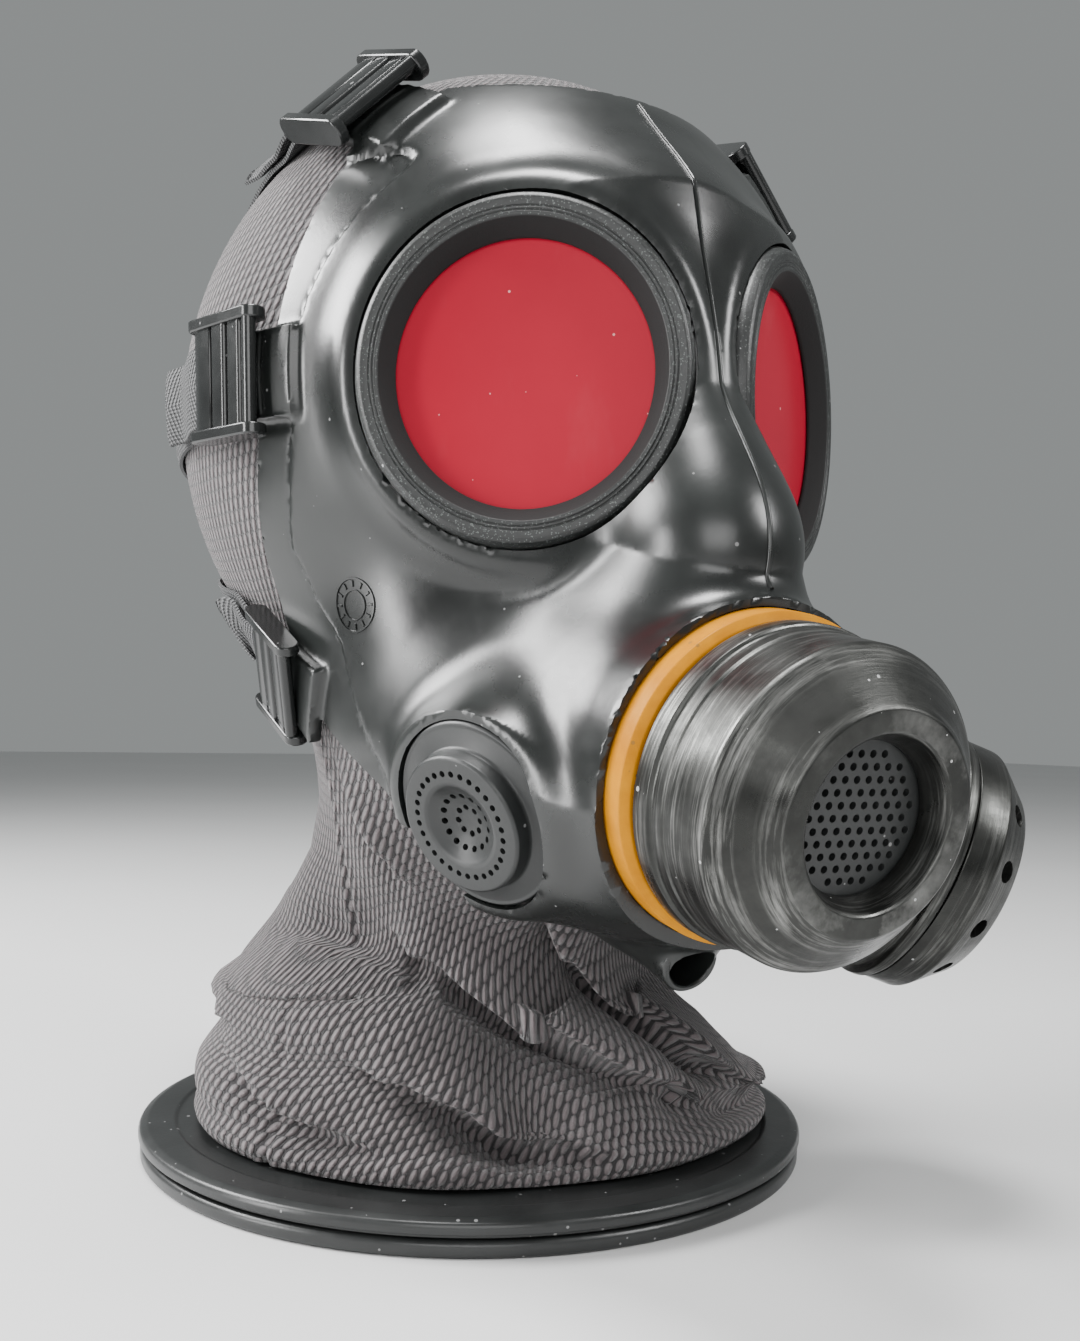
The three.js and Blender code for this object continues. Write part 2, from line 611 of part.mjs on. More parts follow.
// Buckle in its own frame: X across the strap, Y along it, Z off the head, from its underside
function buckleSolid() {
  const low = RUBBER_LIFT + BUCKLE_STAND;
  const outline = new THREE.Shape();
  const half = BUCKLE_LENGTH / 2;
  const nose = BUCKLE_HEIGHT * 0.4;
  outline.moveTo(-half, low + nose);
  outline.quadraticCurveTo(-half, low, -half + nose, low);
  outline.lineTo(half - nose, low);
  outline.quadraticCurveTo(half, low, half, low + nose);
  outline.lineTo(half, low + BUCKLE_HEIGHT - nose);
  outline.quadraticCurveTo(half, low + BUCKLE_HEIGHT, half - nose, low + BUCKLE_HEIGHT);
  outline.lineTo(-half + nose, low + BUCKLE_HEIGHT);
  outline.quadraticCurveTo(-half, low + BUCKLE_HEIGHT, -half, low + BUCKLE_HEIGHT - nose);
  const solidCheek = { depth: BUCKLE_CHEEK, bevelEnabled: false, curveSegments: 1 };
  const plate = new THREE.ExtrudeGeometry(outline, solidCheek);
  plate.applyMatrix4(new THREE.Matrix4().makeBasis(V(0, 1, 0), V(0, 0, 1), V(1, 0, 0)));
  const inner = BUCKLE_WIDTH / 2 - BUCKLE_CHEEK;
  let solid = toSolid(plate.clone().translate(inner, 0, 0));
  solid = solid.add(toSolid(plate.clone().translate(-inner - BUCKLE_CHEEK, 0, 0)));
  const barLow = TAB_LIFT + TAB_THICKNESS + BUCKLE_BAR_GAP;
  const barHigh = low + BUCKLE_HEIGHT * 0.8;
  for (const place of [-1, 0, 1]) {
    const bar = new THREE.BoxGeometry(inner * 2 + BUCKLE_CHEEK, BUCKLE_BAR, barHigh - barLow);
    bar.translate(0, place * (half - BUCKLE_BAR * 0.75), (barLow + barHigh) / 2);
    solid = solid.add(toSolid(bar));
  }
  return solid;
}

// How much higher a flat buckle has to sit so that its cheeks clear the curved rubber under them
function buckleLift(stop, across, along) {
  const low = RUBBER_LIFT + BUCKLE_STAND;
  let lift = 0;
  for (const x of [-1, 1]) {
    for (const y of [-1, -0.5, 0, 0.5, 1]) {
      const foot = stop.surface.clone().addScaledVector(stop.normal, low);
      foot.addScaledVector(across, (x * BUCKLE_WIDTH) / 2).addScaledVector(along, (y * BUCKLE_LENGTH) / 2);
      const sunk = foot.y < rimDepth(foot.z) ? rubberDistance(foot) : hoodDistance(foot);
      lift = Math.max(lift, BUCKLE_STAND - sunk);
    }
  }
  return lift;
}

function placedBuckle(name, side) {
  const [front, middle, behind] = STRAP_ROUTES[name].map((place) => mirrorPlace(place, side));
  const stop = hoodStop(middle, 0);
  const ahead = hoodStop(middle.clone().lerp(behind, 0.2), 0).surface;
  const rear = hoodStop(middle.clone().lerp(front, 0.2), 0).surface;
  const along = ahead.sub(rear).projectOnPlane(stop.normal).normalize();
  const across = along.clone().cross(stop.normal);
  const place = new THREE.Matrix4().makeBasis(across, along, stop.normal);
  const lift = buckleLift(stop, across, along);
  place.setPosition(stop.surface.addScaledVector(stop.normal, lift));
  return toGeometry(buckleSolid()).applyMatrix4(place);
}

// From where the shells are cast, inside the head and behind the mask
const HEAD_MIDDLE = V(0, -HEAD_HALF_DEPTH * 0.06, HEAD_HEIGHT * 0.64);
const HEAD_VIEW = { centre: HEAD_MIDDLE, pole: AXIS_UP, reach: 190, widest: 2.75 };
const MASK_CENTRE = V(0, -HEAD_HALF_DEPTH * 0.18, HEAD_HEIGHT * 0.75);
const MASK_VIEW = {
  centre: MASK_CENTRE,
  pole: PORT.centre.clone().sub(MASK_CENTRE).normalize(),
  reach: 190,
  widest: 2.5,
};

// Knitted hood: a hollow shell open at the hem, with the face opening cut inside the mask's rim
function hoodShell() {
  const keep = (p) => p.z > STAND_HEIGHT + SEAT_GAP;
  const { hoodTurns, hoodRings } = SHELL;
  const outer = castRings(hoodDistance, keep, HEAD_VIEW, 0, hoodTurns, hoodRings);
  const inner = castRings(hoodDistance, keep, HEAD_VIEW, -HOOD_WALL, hoodTurns, hoodRings);
  const shell = toSolid(cupGeometry(outer, inner));
  const face = new THREE.Shape();
  const low = CHIN_HEIGHT + FACE_OPENING_LIFT;
  const far = -HEAD_HALF_DEPTH * 1.6;
  face.moveTo(far, low);
  for (let i = 0; i <= FACE_OPENING_STEPS; i += 1) {
    const height = THREE.MathUtils.lerp(low, RIM_TOP - RIM_OVERLAP, i / FACE_OPENING_STEPS);
    face.lineTo(rimDepth(height) - RIM_OVERLAP, height);
  }
  face.lineTo(far, RIM_TOP - RIM_OVERLAP);
  const wide = HEAD_HALF_WIDTH * 3;
  const cutter = new THREE.ExtrudeGeometry(face, { depth: wide, bevelEnabled: false });
  cutter.applyMatrix4(new THREE.Matrix4().makeBasis(V(0, 1, 0), V(0, 0, 1), V(1, 0, 0)));
  return shell.subtract(toSolid(cutter.translate(-wide / 2, 0, 0)));
}

const HOOD = hoodShell();
const hoodCrownGeometry = () => toGeometry(HOOD.trimByPlane([0, 0, 1], HOOD_SEAM_HEIGHT + SEAT_GAP / 2));
const hoodSkirtGeometry = () => toGeometry(HOOD.trimByPlane([0, 0, -1], SEAT_GAP / 2 - HOOD_SEAM_HEIGHT));

// The round seats moulded into the facepiece: each has a floor of its own radius behind the seat
// and a bore through it. The floors at the eyes rise into a collar beside the nose.
const SEATS = [
  {
    frame: PORT,
    radius: RING_RADIUS,
    floor: PORT_LIP_RADIUS - PORT_FLOOR_INSET,
    seat: PORT_SEAT,
    bore: PORT_BORE_RADIUS,
  },
];
for (const frame of Object.values(EYES)) {
  const floor = BEZEL_RADIUS + SEAT_GAP + SEAT_WALL;
  const seat = -BEZEL_HEIGHT;
  SEATS.push({ frame, radius: BEZEL_RADIUS, floor, seat, bore: BEZEL_HUB_RADIUS, rise: SEAT_REACH });
}
for (const frame of Object.values(CHEEKS)) {
  const radius = CHEEK_BOSS_RADIUS - CHEEK_LIP - SEAT_GAP;
  const floor = radius + CHEEK_FLOOR;
  SEATS.push({ frame, radius, floor, seat: -CHEEK_RECESS, bore: CHEEK_BORE_RADIUS });
}

// Facepiece shell with rubber filled in behind each seat, as far as its outside allows
function facepieceShell() {
  const keep = (p) => p.y < rimDepth(p.z) && p.z < RIM_TOP;
  const { maskTurns, maskRings } = SHELL;
  const outer = castRings(rubberDistance, keep, MASK_VIEW, 0, maskTurns, maskRings);
  const inner = castRings(rubberDistance, keep, MASK_VIEW, -RUBBER_WALL, maskTurns, maskRings);
  const core = outer.columns.map((column) => column.map(() => MASK_CENTRE));
  const filled = toSolid(cupGeometry(outer, { tip: MASK_CENTRE, columns: core }));
  let solid = toSolid(cupGeometry(outer, inner));
  for (const { frame, floor, seat, rise = 0 } of SEATS) {
    const collar = rodSolid(frame, floor, seat - SEAT_GAP - SEAT_WALL, seat + rise, ROUND.medium);
    solid = solid.add(collar.intersect(filled));
  }
  return solid;
}

// Rubber facepiece with its six strap tabs and drink tube, cut for the eyes, ports and tube
function facepieceGeometry() {
  let solid = facepieceShell();
  for (const side of Object.values(SIDES)) {
    for (const name of Object.keys(STRAP_ROUTES)) solid = solid.add(tabSolid(name, side));
  }
  solid = solid.add(rodSolid(TUBE, TUBE_RADIUS, -TUBE_LENGTH, 0, ROUND.tube));
  solid = solid.subtract(rodSolid(TUBE, TUBE_BORE_RADIUS, -TUBE_LENGTH * 2, TUBE_LENGTH, ROUND.tube));
  for (const { frame, radius, seat, bore } of SEATS) {
    solid = solid.subtract(rodSolid(frame, bore + SEAT_GAP, -SEAT_REACH, SEAT_REACH, ROUND.medium));
    const pocket = rodSolid(frame, radius + SEAT_GAP, seat - SEAT_GAP, SEAT_REACH, ROUND.medium);
    solid = solid.subtract(pocket);
  }
  return toGeometry(solid);
}

// Bezel ring whose hub passes through the rubber, with a pocket for the lens
function bezelGeometry(frame) {
  const pocket = BEZEL_HUB_RADIUS - BEZEL_HUB_WALL;
  const low = -BEZEL_HEIGHT - BEZEL_HUB_DEPTH;
  return turnedGeometry(frame, [
    [BEZEL_MOUTH_RADIUS, 0],
    [BEZEL_FACE_RADIUS, 0],
    [BEZEL_RADIUS, -BEZEL_HEIGHT],
    [BEZEL_HUB_RADIUS, -BEZEL_HEIGHT],
    [BEZEL_HUB_RADIUS, low],
    [pocket, low],
    [pocket, -LENS_DEPTH],
    [LENS_SIGHT_RADIUS, -LENS_DEPTH],
    [LENS_SIGHT_RADIUS, -LENS_DEPTH + BEZEL_LEDGE],
  ], ROUND.medium);
}

function lensGeometry(frame) {
  const radius = BEZEL_HUB_RADIUS - BEZEL_HUB_WALL - SEAT_GAP;
  const face = -LENS_DEPTH - SEAT_GAP;
  const low = face - LENS_THICKNESS;
  return turnedGeometry(frame, [[0, low], [radius, low], [radius, face], [0, face]], ROUND.medium);
}

function ringGeometry() {
  const low = PORT_SEAT;
  const high = low + RING_LENGTH;
  const bore = PORT_BORE_RADIUS;
  return turnedGeometry(PORT, [
    [bore, low],
    [RING_RADIUS, low],
    [RING_RADIUS, high - RING_CHAMFER],
    [RING_RADIUS - RING_CHAMFER * 1.6, high],
    [bore, high],
  ], ROUND.medium);
}

// Front canister: hollow body on a neck that passes the ring, with a recess before the grille
const CANISTER_REAR = PORT_SEAT + SEAT_GAP + RING_LENGTH;
const CANISTER_FRONT = CANISTER_REAR + CANISTER_LENGTH;
const RECESS_FLOOR = CANISTER_FRONT - RECESS_DEPTH;
const RECESS_FLOOR_RADIUS = RECESS_RADIUS - RECESS_TAPER;
const GRILLE_RADIUS = RECESS_RADIUS + GRILLE_MARGIN;
const GRILLE_FRONT = RECESS_FLOOR - GRILLE_LEDGE;

function canisterGeometry() {
  const neck = PORT_BORE_RADIUS - SEAT_GAP;
  const shoulder = CANISTER_FRONT - CANISTER_CONE;
  const chamber = CANISTER_RADIUS - CANISTER_WALL - CANISTER_DRAFT;
  const low = CANISTER_REAR;
  return turnedGeometry(PORT, [
    [neck, low - NECK_DEPTH],
    [neck, low],
    [CANISTER_RADIUS - CANISTER_EDGE.radius, low],
    [CANISTER_RADIUS, low + CANISTER_EDGE.length],
    [CANISTER_RADIUS - CANISTER_DRAFT, shoulder],
    [CANISTER_FACE_RADIUS, CANISTER_FRONT],
    [RECESS_RADIUS, CANISTER_FRONT],
    [RECESS_FLOOR_RADIUS, RECESS_FLOOR],
    [RECESS_FLOOR_RADIUS, GRILLE_FRONT],
    [GRILLE_RADIUS + SEAT_GAP, GRILLE_FRONT],
    [GRILLE_RADIUS + SEAT_GAP, shoulder - CANISTER_WALL],
    [chamber, shoulder - CANISTER_WALL],
    [chamber, low + CANISTER_WALL],
    [neck - CANISTER_WALL, low + CANISTER_WALL],
    [neck - CANISTER_WALL, low - NECK_DEPTH],
  ], ROUND.medium);
}

// The two directions across a fitting, and outward directions evenly round it
function sideways(frame) {
  const turn = new THREE.Quaternion().setFromUnitVectors(V(0, 1, 0), frame.axis);
  return { right: V(1, 0, 0).applyQuaternion(turn), up: V(0, 0, 1).applyQuaternion(turn) };
}

function spokes(frame, count, shift) {
  const { right, up } = sideways(frame);
  return Array.from({ length: count }, (_, i) => {
    const turn = ((i + shift) / count) * Math.PI * 2;
    return right.clone().multiplyScalar(Math.sin(turn)).addScaledVector(up, Math.cos(turn));
  });
}

function grilleGeometry() {
  const high = GRILLE_FRONT - SEAT_GAP;
  const { right, up } = sideways(PORT);
  const plate = new THREE.Shape().absarc(0, 0, GRILLE_RADIUS, 0, Math.PI * 2, false);
  const rowStep = GRILLE_PITCH * Math.sin(Math.PI / 3);
  const reach = RECESS_FLOOR_RADIUS - GRILLE_HOLE * 0.6;
  const rows = Math.floor(reach / rowStep);
  for (let row = -rows; row <= rows; row += 1) {
    const shift = row % 2 === 0 ? 0 : GRILLE_PITCH / 2;
    for (let step = -rows; step <= rows; step += 1) {
      const x = shift + step * GRILLE_PITCH;
      const y = row * rowStep;
      if (Math.hypot(x, y) > reach) continue;
      const hole = new THREE.Path();
      const half = GRILLE_HOLE / 2;
      const corners = [[half, 0], [0, half], [-half, 0], [0, -half]];
      hole.setFromPoints(corners.map(([a, b]) => new THREE.Vector2(x + a, y + b)));
      plate.holes.push(hole);
    }
  }
  const sheet = { depth: GRILLE_THICKNESS, bevelEnabled: false, curveSegments: 12 };
  const geometry = new THREE.ExtrudeGeometry(plate, sheet);
  const place = new THREE.Matrix4().makeBasis(right, up, PORT.axis);
  const base = PORT.centre.clone().addScaledVector(PORT.axis, high - GRILLE_THICKNESS);
  return toGeometry(toSolid(geometry.applyMatrix4(place.setPosition(base))));
}

// Voice port: a dish with a raised disc, a bowl in its middle and a ring of holes
function voiceGeometry(frame) {
  const seat = -CHEEK_RECESS;
  const rim = CHEEK_BOSS_RADIUS - CHEEK_LIP - SEAT_GAP;
  const face = VOICE_DISC_HEIGHT;
  const cavity = VOICE_DISC_RADIUS - VOICE_WALL;
  const bowl = face - VOICE_BOWL_DEPTH;
  let solid = turnedSolid(frame, [
    [0, bowl],
    [VOICE_BOWL_RADIUS * 0.7, bowl + VOICE_BOWL_DEPTH * 0.3],
    [VOICE_BOWL_RADIUS, face],
    [VOICE_DISC_RADIUS - VOICE_EDGE, face],
    [VOICE_DISC_RADIUS, face - VOICE_EDGE],
    [VOICE_DISC_RADIUS + VOICE_EDGE, VOICE_FOOT],
    [rim, VOICE_RIM],
    [rim, seat],
    [CHEEK_BORE_RADIUS, seat],
    [CHEEK_BORE_RADIUS, seat - CHEEK_HUB_DEPTH],
    [cavity, seat - CHEEK_HUB_DEPTH],
    [cavity, face - VOICE_WALL],
    [VOICE_BOWL_RADIUS, face - VOICE_WALL],
    [VOICE_BOWL_RADIUS * 0.6, bowl - VOICE_WALL],
    [0, bowl - VOICE_WALL],
  ], ROUND.cheek);
  for (const out of spokes(frame, VOICE_HOLES, 0.5)) {
    const hole = { centre: frame.centre.clone().addScaledVector(out, VOICE_HOLE_CIRCLE), axis: frame.axis };
    solid = solid.subtract(rodSolid(hole, VOICE_HOLE / 2, face - VOICE_WALL * 1.5, face + 1, ROUND.hole));
  }
  return toGeometry(solid);
}

// Side canister: a body on a neck in the cheek port, and a vented cap round its front
const SIDE_BODY_END = SIDE_LENGTH - SIDE_CHAMFER - SIDE_BAND;

function sideBodyGeometry(frame) {
  const seat = -CHEEK_RECESS;
  const rim = CHEEK_BOSS_RADIUS - CHEEK_LIP - SEAT_GAP;
  const body = SIDE_RADIUS - SIDE_INSET;
  const inside = body - CANISTER_WALL;
  const bore = CHEEK_BORE_RADIUS - CANISTER_WALL;
  const bead = SIDE_RADIUS + SIDE_BEAD.out;
  const beadLow = SIDE_BODY_END - SIDE_BEAD.width;
  return turnedGeometry(frame, [
    [CHEEK_BORE_RADIUS, seat - CHEEK_HUB_DEPTH],
    [CHEEK_BORE_RADIUS, seat],
    [rim, seat],
    [rim, SIDE_NECK],
    [body, SIDE_SHOULDER],
    [body, beadLow - SIDE_BEAD.slope],
    [bead, beadLow],
    [bead, SIDE_BODY_END - SIDE_BEAD.slope],
    [SIDE_RADIUS, SIDE_BODY_END],
    [inside, SIDE_BODY_END],
    [inside, SIDE_SHOULDER + CANISTER_WALL],
    [bore, SIDE_NECK + CANISTER_WALL],
    [bore, seat - CHEEK_HUB_DEPTH],
  ], ROUND.cheek);
}

function sideCapGeometry(frame) {
  const low = SIDE_BODY_END + SEAT_GAP;
  const edge = SIDE_LENGTH - SIDE_CHAMFER;
  let cap = turnedSolid(frame, [
    [0, SIDE_LENGTH - CANISTER_WALL],
    [SIDE_FACE_RADIUS - CANISTER_WALL * 0.6, SIDE_LENGTH - CANISTER_WALL],
    [SIDE_RADIUS - CANISTER_WALL, edge - CANISTER_WALL * 0.4],
    [SIDE_RADIUS - CANISTER_WALL, low],
    [SIDE_RADIUS, low],
    [SIDE_RADIUS, edge],
    [SIDE_FACE_RADIUS, SIDE_LENGTH],
    [0, SIDE_LENGTH],
  ], ROUND.cheek);
  const slope = Math.atan2(SIDE_CHAMFER, SIDE_RADIUS - SIDE_FACE_RADIUS);
  const middle = (SIDE_RADIUS + SIDE_FACE_RADIUS) / 2;
  for (const out of spokes(frame, SIDE_VENTS, 0.25)) {
    const axis = out.clone().multiplyScalar(Math.sin(slope)).addScaledVector(frame.axis, Math.cos(slope));
    const centre = frame.centre.clone().addScaledVector(out, middle);
    centre.addScaledVector(frame.axis, SIDE_LENGTH - SIDE_CHAMFER / 2);
    const drill = rodSolid({ centre, axis }, SIDE_VENT / 2, -SIDE_VENT_REACH, SIDE_VENT_REACH, ROUND.vent);
    cap = cap.subtract(drill);
  }
  return toGeometry(cap);
}

// Stand: a lower disc, and an upper disc with a groove under it and a shallow recess on top
const STAND_FRAME = { centre: V(0, 0, 0), axis: AXIS_UP };

function standLowerGeometry() {
  const radius = STAND_RADIUS - STAND_LOWER_INSET;
  const top = STAND_LOWER_HEIGHT;
  return turnedGeometry(STAND_FRAME, [
    [0, 0],
    [radius - STAND_EDGE, 0],
    [radius, STAND_EDGE],
    [radius, top - STAND_EDGE],
    [radius - STAND_EDGE, top],
    [0, top],
  ], ROUND.large);
}

function standUpperGeometry() {
  const low = STAND_LOWER_HEIGHT + SEAT_GAP;
  return turnedGeometry(STAND_FRAME, [
    [0, low],
    [STAND_RADIUS - STAND_GROOVE_DEPTH, low],
    [STAND_RADIUS - STAND_GROOVE_DEPTH, low + STAND_GROOVE_HEIGHT],
    [STAND_RADIUS, low + STAND_GROOVE_HEIGHT],
    [STAND_RADIUS, STAND_HEIGHT - STAND_TOP_EDGE],
    [STAND_RADIUS - STAND_BEVEL, STAND_HEIGHT],
    [STAND_RADIUS - STAND_RIM, STAND_HEIGHT],
    [STAND_RADIUS - STAND_RIM - STAND_RECESS, STAND_HEIGHT - STAND_RECESS],
    [0, STAND_HEIGHT - STAND_RECESS],
  ], ROUND.large);
}

addPiece("stand_lower_disc", standLowerGeometry(), BLACK_PLASTIC);
addPiece("stand_upper_disc", standUpperGeometry(), BLACK_PLASTIC);
addPiece("hood_crown", hoodCrownGeometry(), KNIT);
addPiece("hood_skirt", hoodSkirtGeometry(), KNIT);
addPiece("facepiece", facepieceGeometry(), RUBBER);
addPiece("port_ring", ringGeometry(), AMBER);
addPiece("front_canister", canisterGeometry(), GUNMETAL);
addPiece("front_grille", grilleGeometry(), BLACK_PLASTIC);
addPiece("voice_port", voiceGeometry(CHEEKS.right), BLACK_PLASTIC);
addPiece("side_canister_body", sideBodyGeometry(CHEEKS.left), GUNMETAL);
addPiece("side_canister_cap", sideCapGeometry(CHEEKS.left), GUNMETAL);
for (const side of ["right", "left"]) {
  addPiece(`eye_bezel_${side}`, bezelGeometry(EYES[side]), BLACK_PLASTIC);
  addPiece(`eye_lens_${side}`, lensGeometry(EYES[side]), RED_LENS);
  for (const name of Object.keys(STRAP_ROUTES)) {
    addPiece(`${name}_buckle_${side}`, placedBuckle(name, SIDES[side]), BLACK_PLASTIC);
  }
  addPiece(`top_strap_${side}`, topStrap(SIDES[side]), WEBBING);
}
addPiece("temple_strap", loopStrap("temple"), WEBBING);
addPiece("cheek_strap", loopStrap("cheek"), WEBBING);

export default mask;
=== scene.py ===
# %% [markdown]
# A costume gas mask over a knitted hood, on a round stand. The mask is moulded rubber with two
# round eyepieces, a threaded canister in front and a second one on the cheek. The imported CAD
# model gives every place and size, and this file gives each piece its surface. All lengths here
# are written in millimetres, as a maker would say them, and turned to metres when a mesh is made.

import math

import bmesh
import bpy
import numpy as np
from mathutils import Matrix, Vector


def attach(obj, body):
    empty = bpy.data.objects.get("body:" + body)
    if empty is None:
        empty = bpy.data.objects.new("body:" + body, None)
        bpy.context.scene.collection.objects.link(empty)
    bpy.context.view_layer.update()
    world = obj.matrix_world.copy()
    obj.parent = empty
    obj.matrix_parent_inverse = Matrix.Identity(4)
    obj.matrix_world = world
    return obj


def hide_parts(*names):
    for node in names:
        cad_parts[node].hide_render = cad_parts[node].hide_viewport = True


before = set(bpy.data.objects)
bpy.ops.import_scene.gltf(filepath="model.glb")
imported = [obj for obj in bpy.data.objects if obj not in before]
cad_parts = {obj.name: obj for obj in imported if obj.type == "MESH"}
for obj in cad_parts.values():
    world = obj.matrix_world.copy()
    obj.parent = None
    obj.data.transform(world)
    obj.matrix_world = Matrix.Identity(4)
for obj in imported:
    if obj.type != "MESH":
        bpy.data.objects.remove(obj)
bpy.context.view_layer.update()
MM = 0.001
print("CAD nodes:", len(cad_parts))


# %% [markdown]
# Meshes made by numpy are quick to build and easy to check. One helper turns points and faces
# into a named piece and gives it a material, and another lets it ride on the only body and hides
# the CAD nodes that it replaces. Edges sharper than the angle stay crisp, and the rest is shaded smooth.

# %% Pieces and rounded profiles
def unit(v):
    v = np.asarray(v, float)
    return v / np.linalg.norm(v, axis=-1, keepdims=True)


def mesh_object(name, points, faces, material, sharp=35):
    mesh = bpy.data.meshes.new(name)
    mesh.from_pydata((np.asarray(points) * MM).tolist(), [], [list(map(int, f)) for f in faces])
    mesh.update()
    mesh.shade_smooth()
    mesh.set_sharp_from_angle(angle=math.radians(sharp))
    piece = bpy.data.objects.new(name, mesh)
    bpy.context.scene.collection.objects.link(piece)
    piece.data.materials.append(material)
    return piece


def settle(piece, slot, *nodes):
    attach(piece, "root")
    if nodes:
        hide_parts(*nodes)
    print(f"{piece.name}: {len(piece.data.polygons)} faces")


def outward(piece, merge=True):
    """Turns all faces of a closed mesh outwards. Merging doubles would lose a UV map."""
    shape = bmesh.new()
    shape.from_mesh(piece.data)
    if merge:
        bmesh.ops.remove_doubles(shape, verts=shape.verts, dist=1e-6)
    bmesh.ops.recalc_face_normals(shape, faces=shape.faces)
    shape.to_mesh(piece.data)
    shape.free()
    return piece


def rounded(profile, radius=0.4, steps=3):
    """A closed or open profile of (r, s) rows whose corners are eased by a radius."""
    points = np.array(profile, float)
    result = []
    count = len(points)
    for i, corner in enumerate(points):
        before, after = points[i - 1], points[(i + 1) % count]
        on_axis = corner[0] < 1e-6
        a, b = corner - before, after - corner
        short = min(np.linalg.norm(a), np.linalg.norm(b)) * 0.45
        ease = min(radius, short)
        if on_axis or ease < 0.02:
            result.append(corner)
            continue
        start, end = corner - unit(a) * ease, corner + unit(b) * ease
        for t in np.linspace(0, 1, steps + 1):
            result.append((1 - t) ** 2 * start + 2 * t * (1 - t) * corner + t * t * end)
    return np.array(result)


def axis_frame(centre, axis):
    """Three unit vectors for a fitting: across, up and along its axis."""
    along = unit(axis)
    across = unit(np.cross(along, (0, 0, 1.0)) if abs(along[2]) < 0.99 else (1.0, 0, 0))
    up = np.cross(across, along)
    return np.asarray(centre, float), across, up, along


def lathe(profile, sides, place):
    """Points and faces of a profile turned round a fitting's axis. Rows with r = 0 are poles."""
    centre, across, up, along = place
    turns = np.linspace(0, 2 * math.pi, sides, endpoint=False)
    points, rows = [], []
    for r, s in profile:
        start = len(points)
        if r < 1e-6:
            points.append(centre + along * s)
            rows.append([start] * sides)
            continue
        for turn in turns:
            points.append(centre + along * s + (across * math.cos(turn) + up * math.sin(turn)) * r)
        rows.append(list(range(start, start + sides)))
    faces = []
    closed = profile[0][0] > 1e-6
    for i in range(len(rows) if closed else len(rows) - 1):
        low, high = rows[i], rows[(i + 1) % len(rows)]
        for j in range(sides):
            k = (j + 1) % sides
            corners = [low[j], low[k], high[k], high[j]]
            face = [c for n, c in enumerate(corners) if c not in corners[:n]]
            if len(face) > 2:
                faces.append(face)
    return np.array(points), faces


def turned(name, profile, place, material, sides=128, radius=0.4, sharp=35):
    points, faces = lathe(rounded(profile, radius), sides, place)
    return outward(mesh_object(name, points, faces, material, sharp))


# %% [markdown]
# A material is a small graph of nodes. The helper below places a node, sets what is plain and
# links what is a socket, so each finish reads as a list of what feeds what. Effects that several
# finishes share, such as dust and scratches, become node groups with named inputs.

# %% Helpers for shader graphs
class Graph:
    def __init__(self, tree):
        self.tree = tree
        self.count = 0

    def node(self, kind, inputs=None, **settings):
        node = self.tree.nodes.new(kind)
        node.location = (200 * (self.count % 8), -220 * (self.count // 8))
        self.count += 1
        for key, value in settings.items():
            setattr(node, key, value)
        for key, value in (inputs or {}).items():
            socket = node.inputs[key]
            if isinstance(value, bpy.types.NodeSocket):
                self.tree.links.new(value, socket)
            else:
                socket.default_value = value
        return node

    def math(self, operation, a, b=0.0, clamp=False):
        return self.node("ShaderNodeMath", {0: a, 1: b}, operation=operation, use_clamp=clamp).outputs[0]

    def noise(self, vector, scale, detail=3.0, roughness=0.5):
        inputs = {"Vector": vector, "Scale": scale, "Detail": detail, "Roughness": roughness}
        return self.node("ShaderNodeTexNoise", inputs).outputs["Fac"]

    def span(self, value, low, high, to_low=0.0, to_high=1.0):
        inputs = {"Value": value, "From Min": low, "From Max": high, "To Min": to_low, "To Max": to_high}
        return self.node("ShaderNodeMapRange", inputs).outputs["Result"]

    def mix(self, factor, a, b):
        """Blend of two colours. Its sockets are numbered, as each kind of data has its own."""
        return self.node("ShaderNodeMix", {0: factor, 6: a, 7: b}, data_type="RGBA").outputs[2]

    def bump(self, height, strength, distance, normal=None):
        inputs = {"Height": height, "Strength": strength, "Distance": distance}
        if normal is not None:
            inputs["Normal"] = normal
        return self.node("ShaderNodeBump", inputs).outputs["Normal"]

    def group(self, tree, inputs):
        return self.node("ShaderNodeGroup", inputs, node_tree=tree).outputs


def new_group(name, inputs, outputs):
    tree = bpy.data.node_groups.new(name, "ShaderNodeTree")
    for label, kind, value in inputs:
        socket = tree.interface.new_socket(name=label, in_out="INPUT", socket_type=kind)
        if value is not None:
            socket.default_value = value
    for label, kind in outputs:
        tree.interface.new_socket(name=label, in_out="OUTPUT", socket_type=kind)
    graph = Graph(tree)
    return tree, graph, graph.node("NodeGroupInput").outputs, graph.node("NodeGroupOutput")


FLOAT, VECTOR = "NodeSocketFloat", "NodeSocketVector"


def grey(value, tint=(1, 1, 1)):
    return (value * tint[0], value * tint[1], value * tint[2], 1)


# %% [markdown]
# Dust on black plastic is a scatter of pale specks of uneven size. A Voronoi pattern gives one
# point per cell. Its random colour decides which cells hold a speck, so few or many can show.

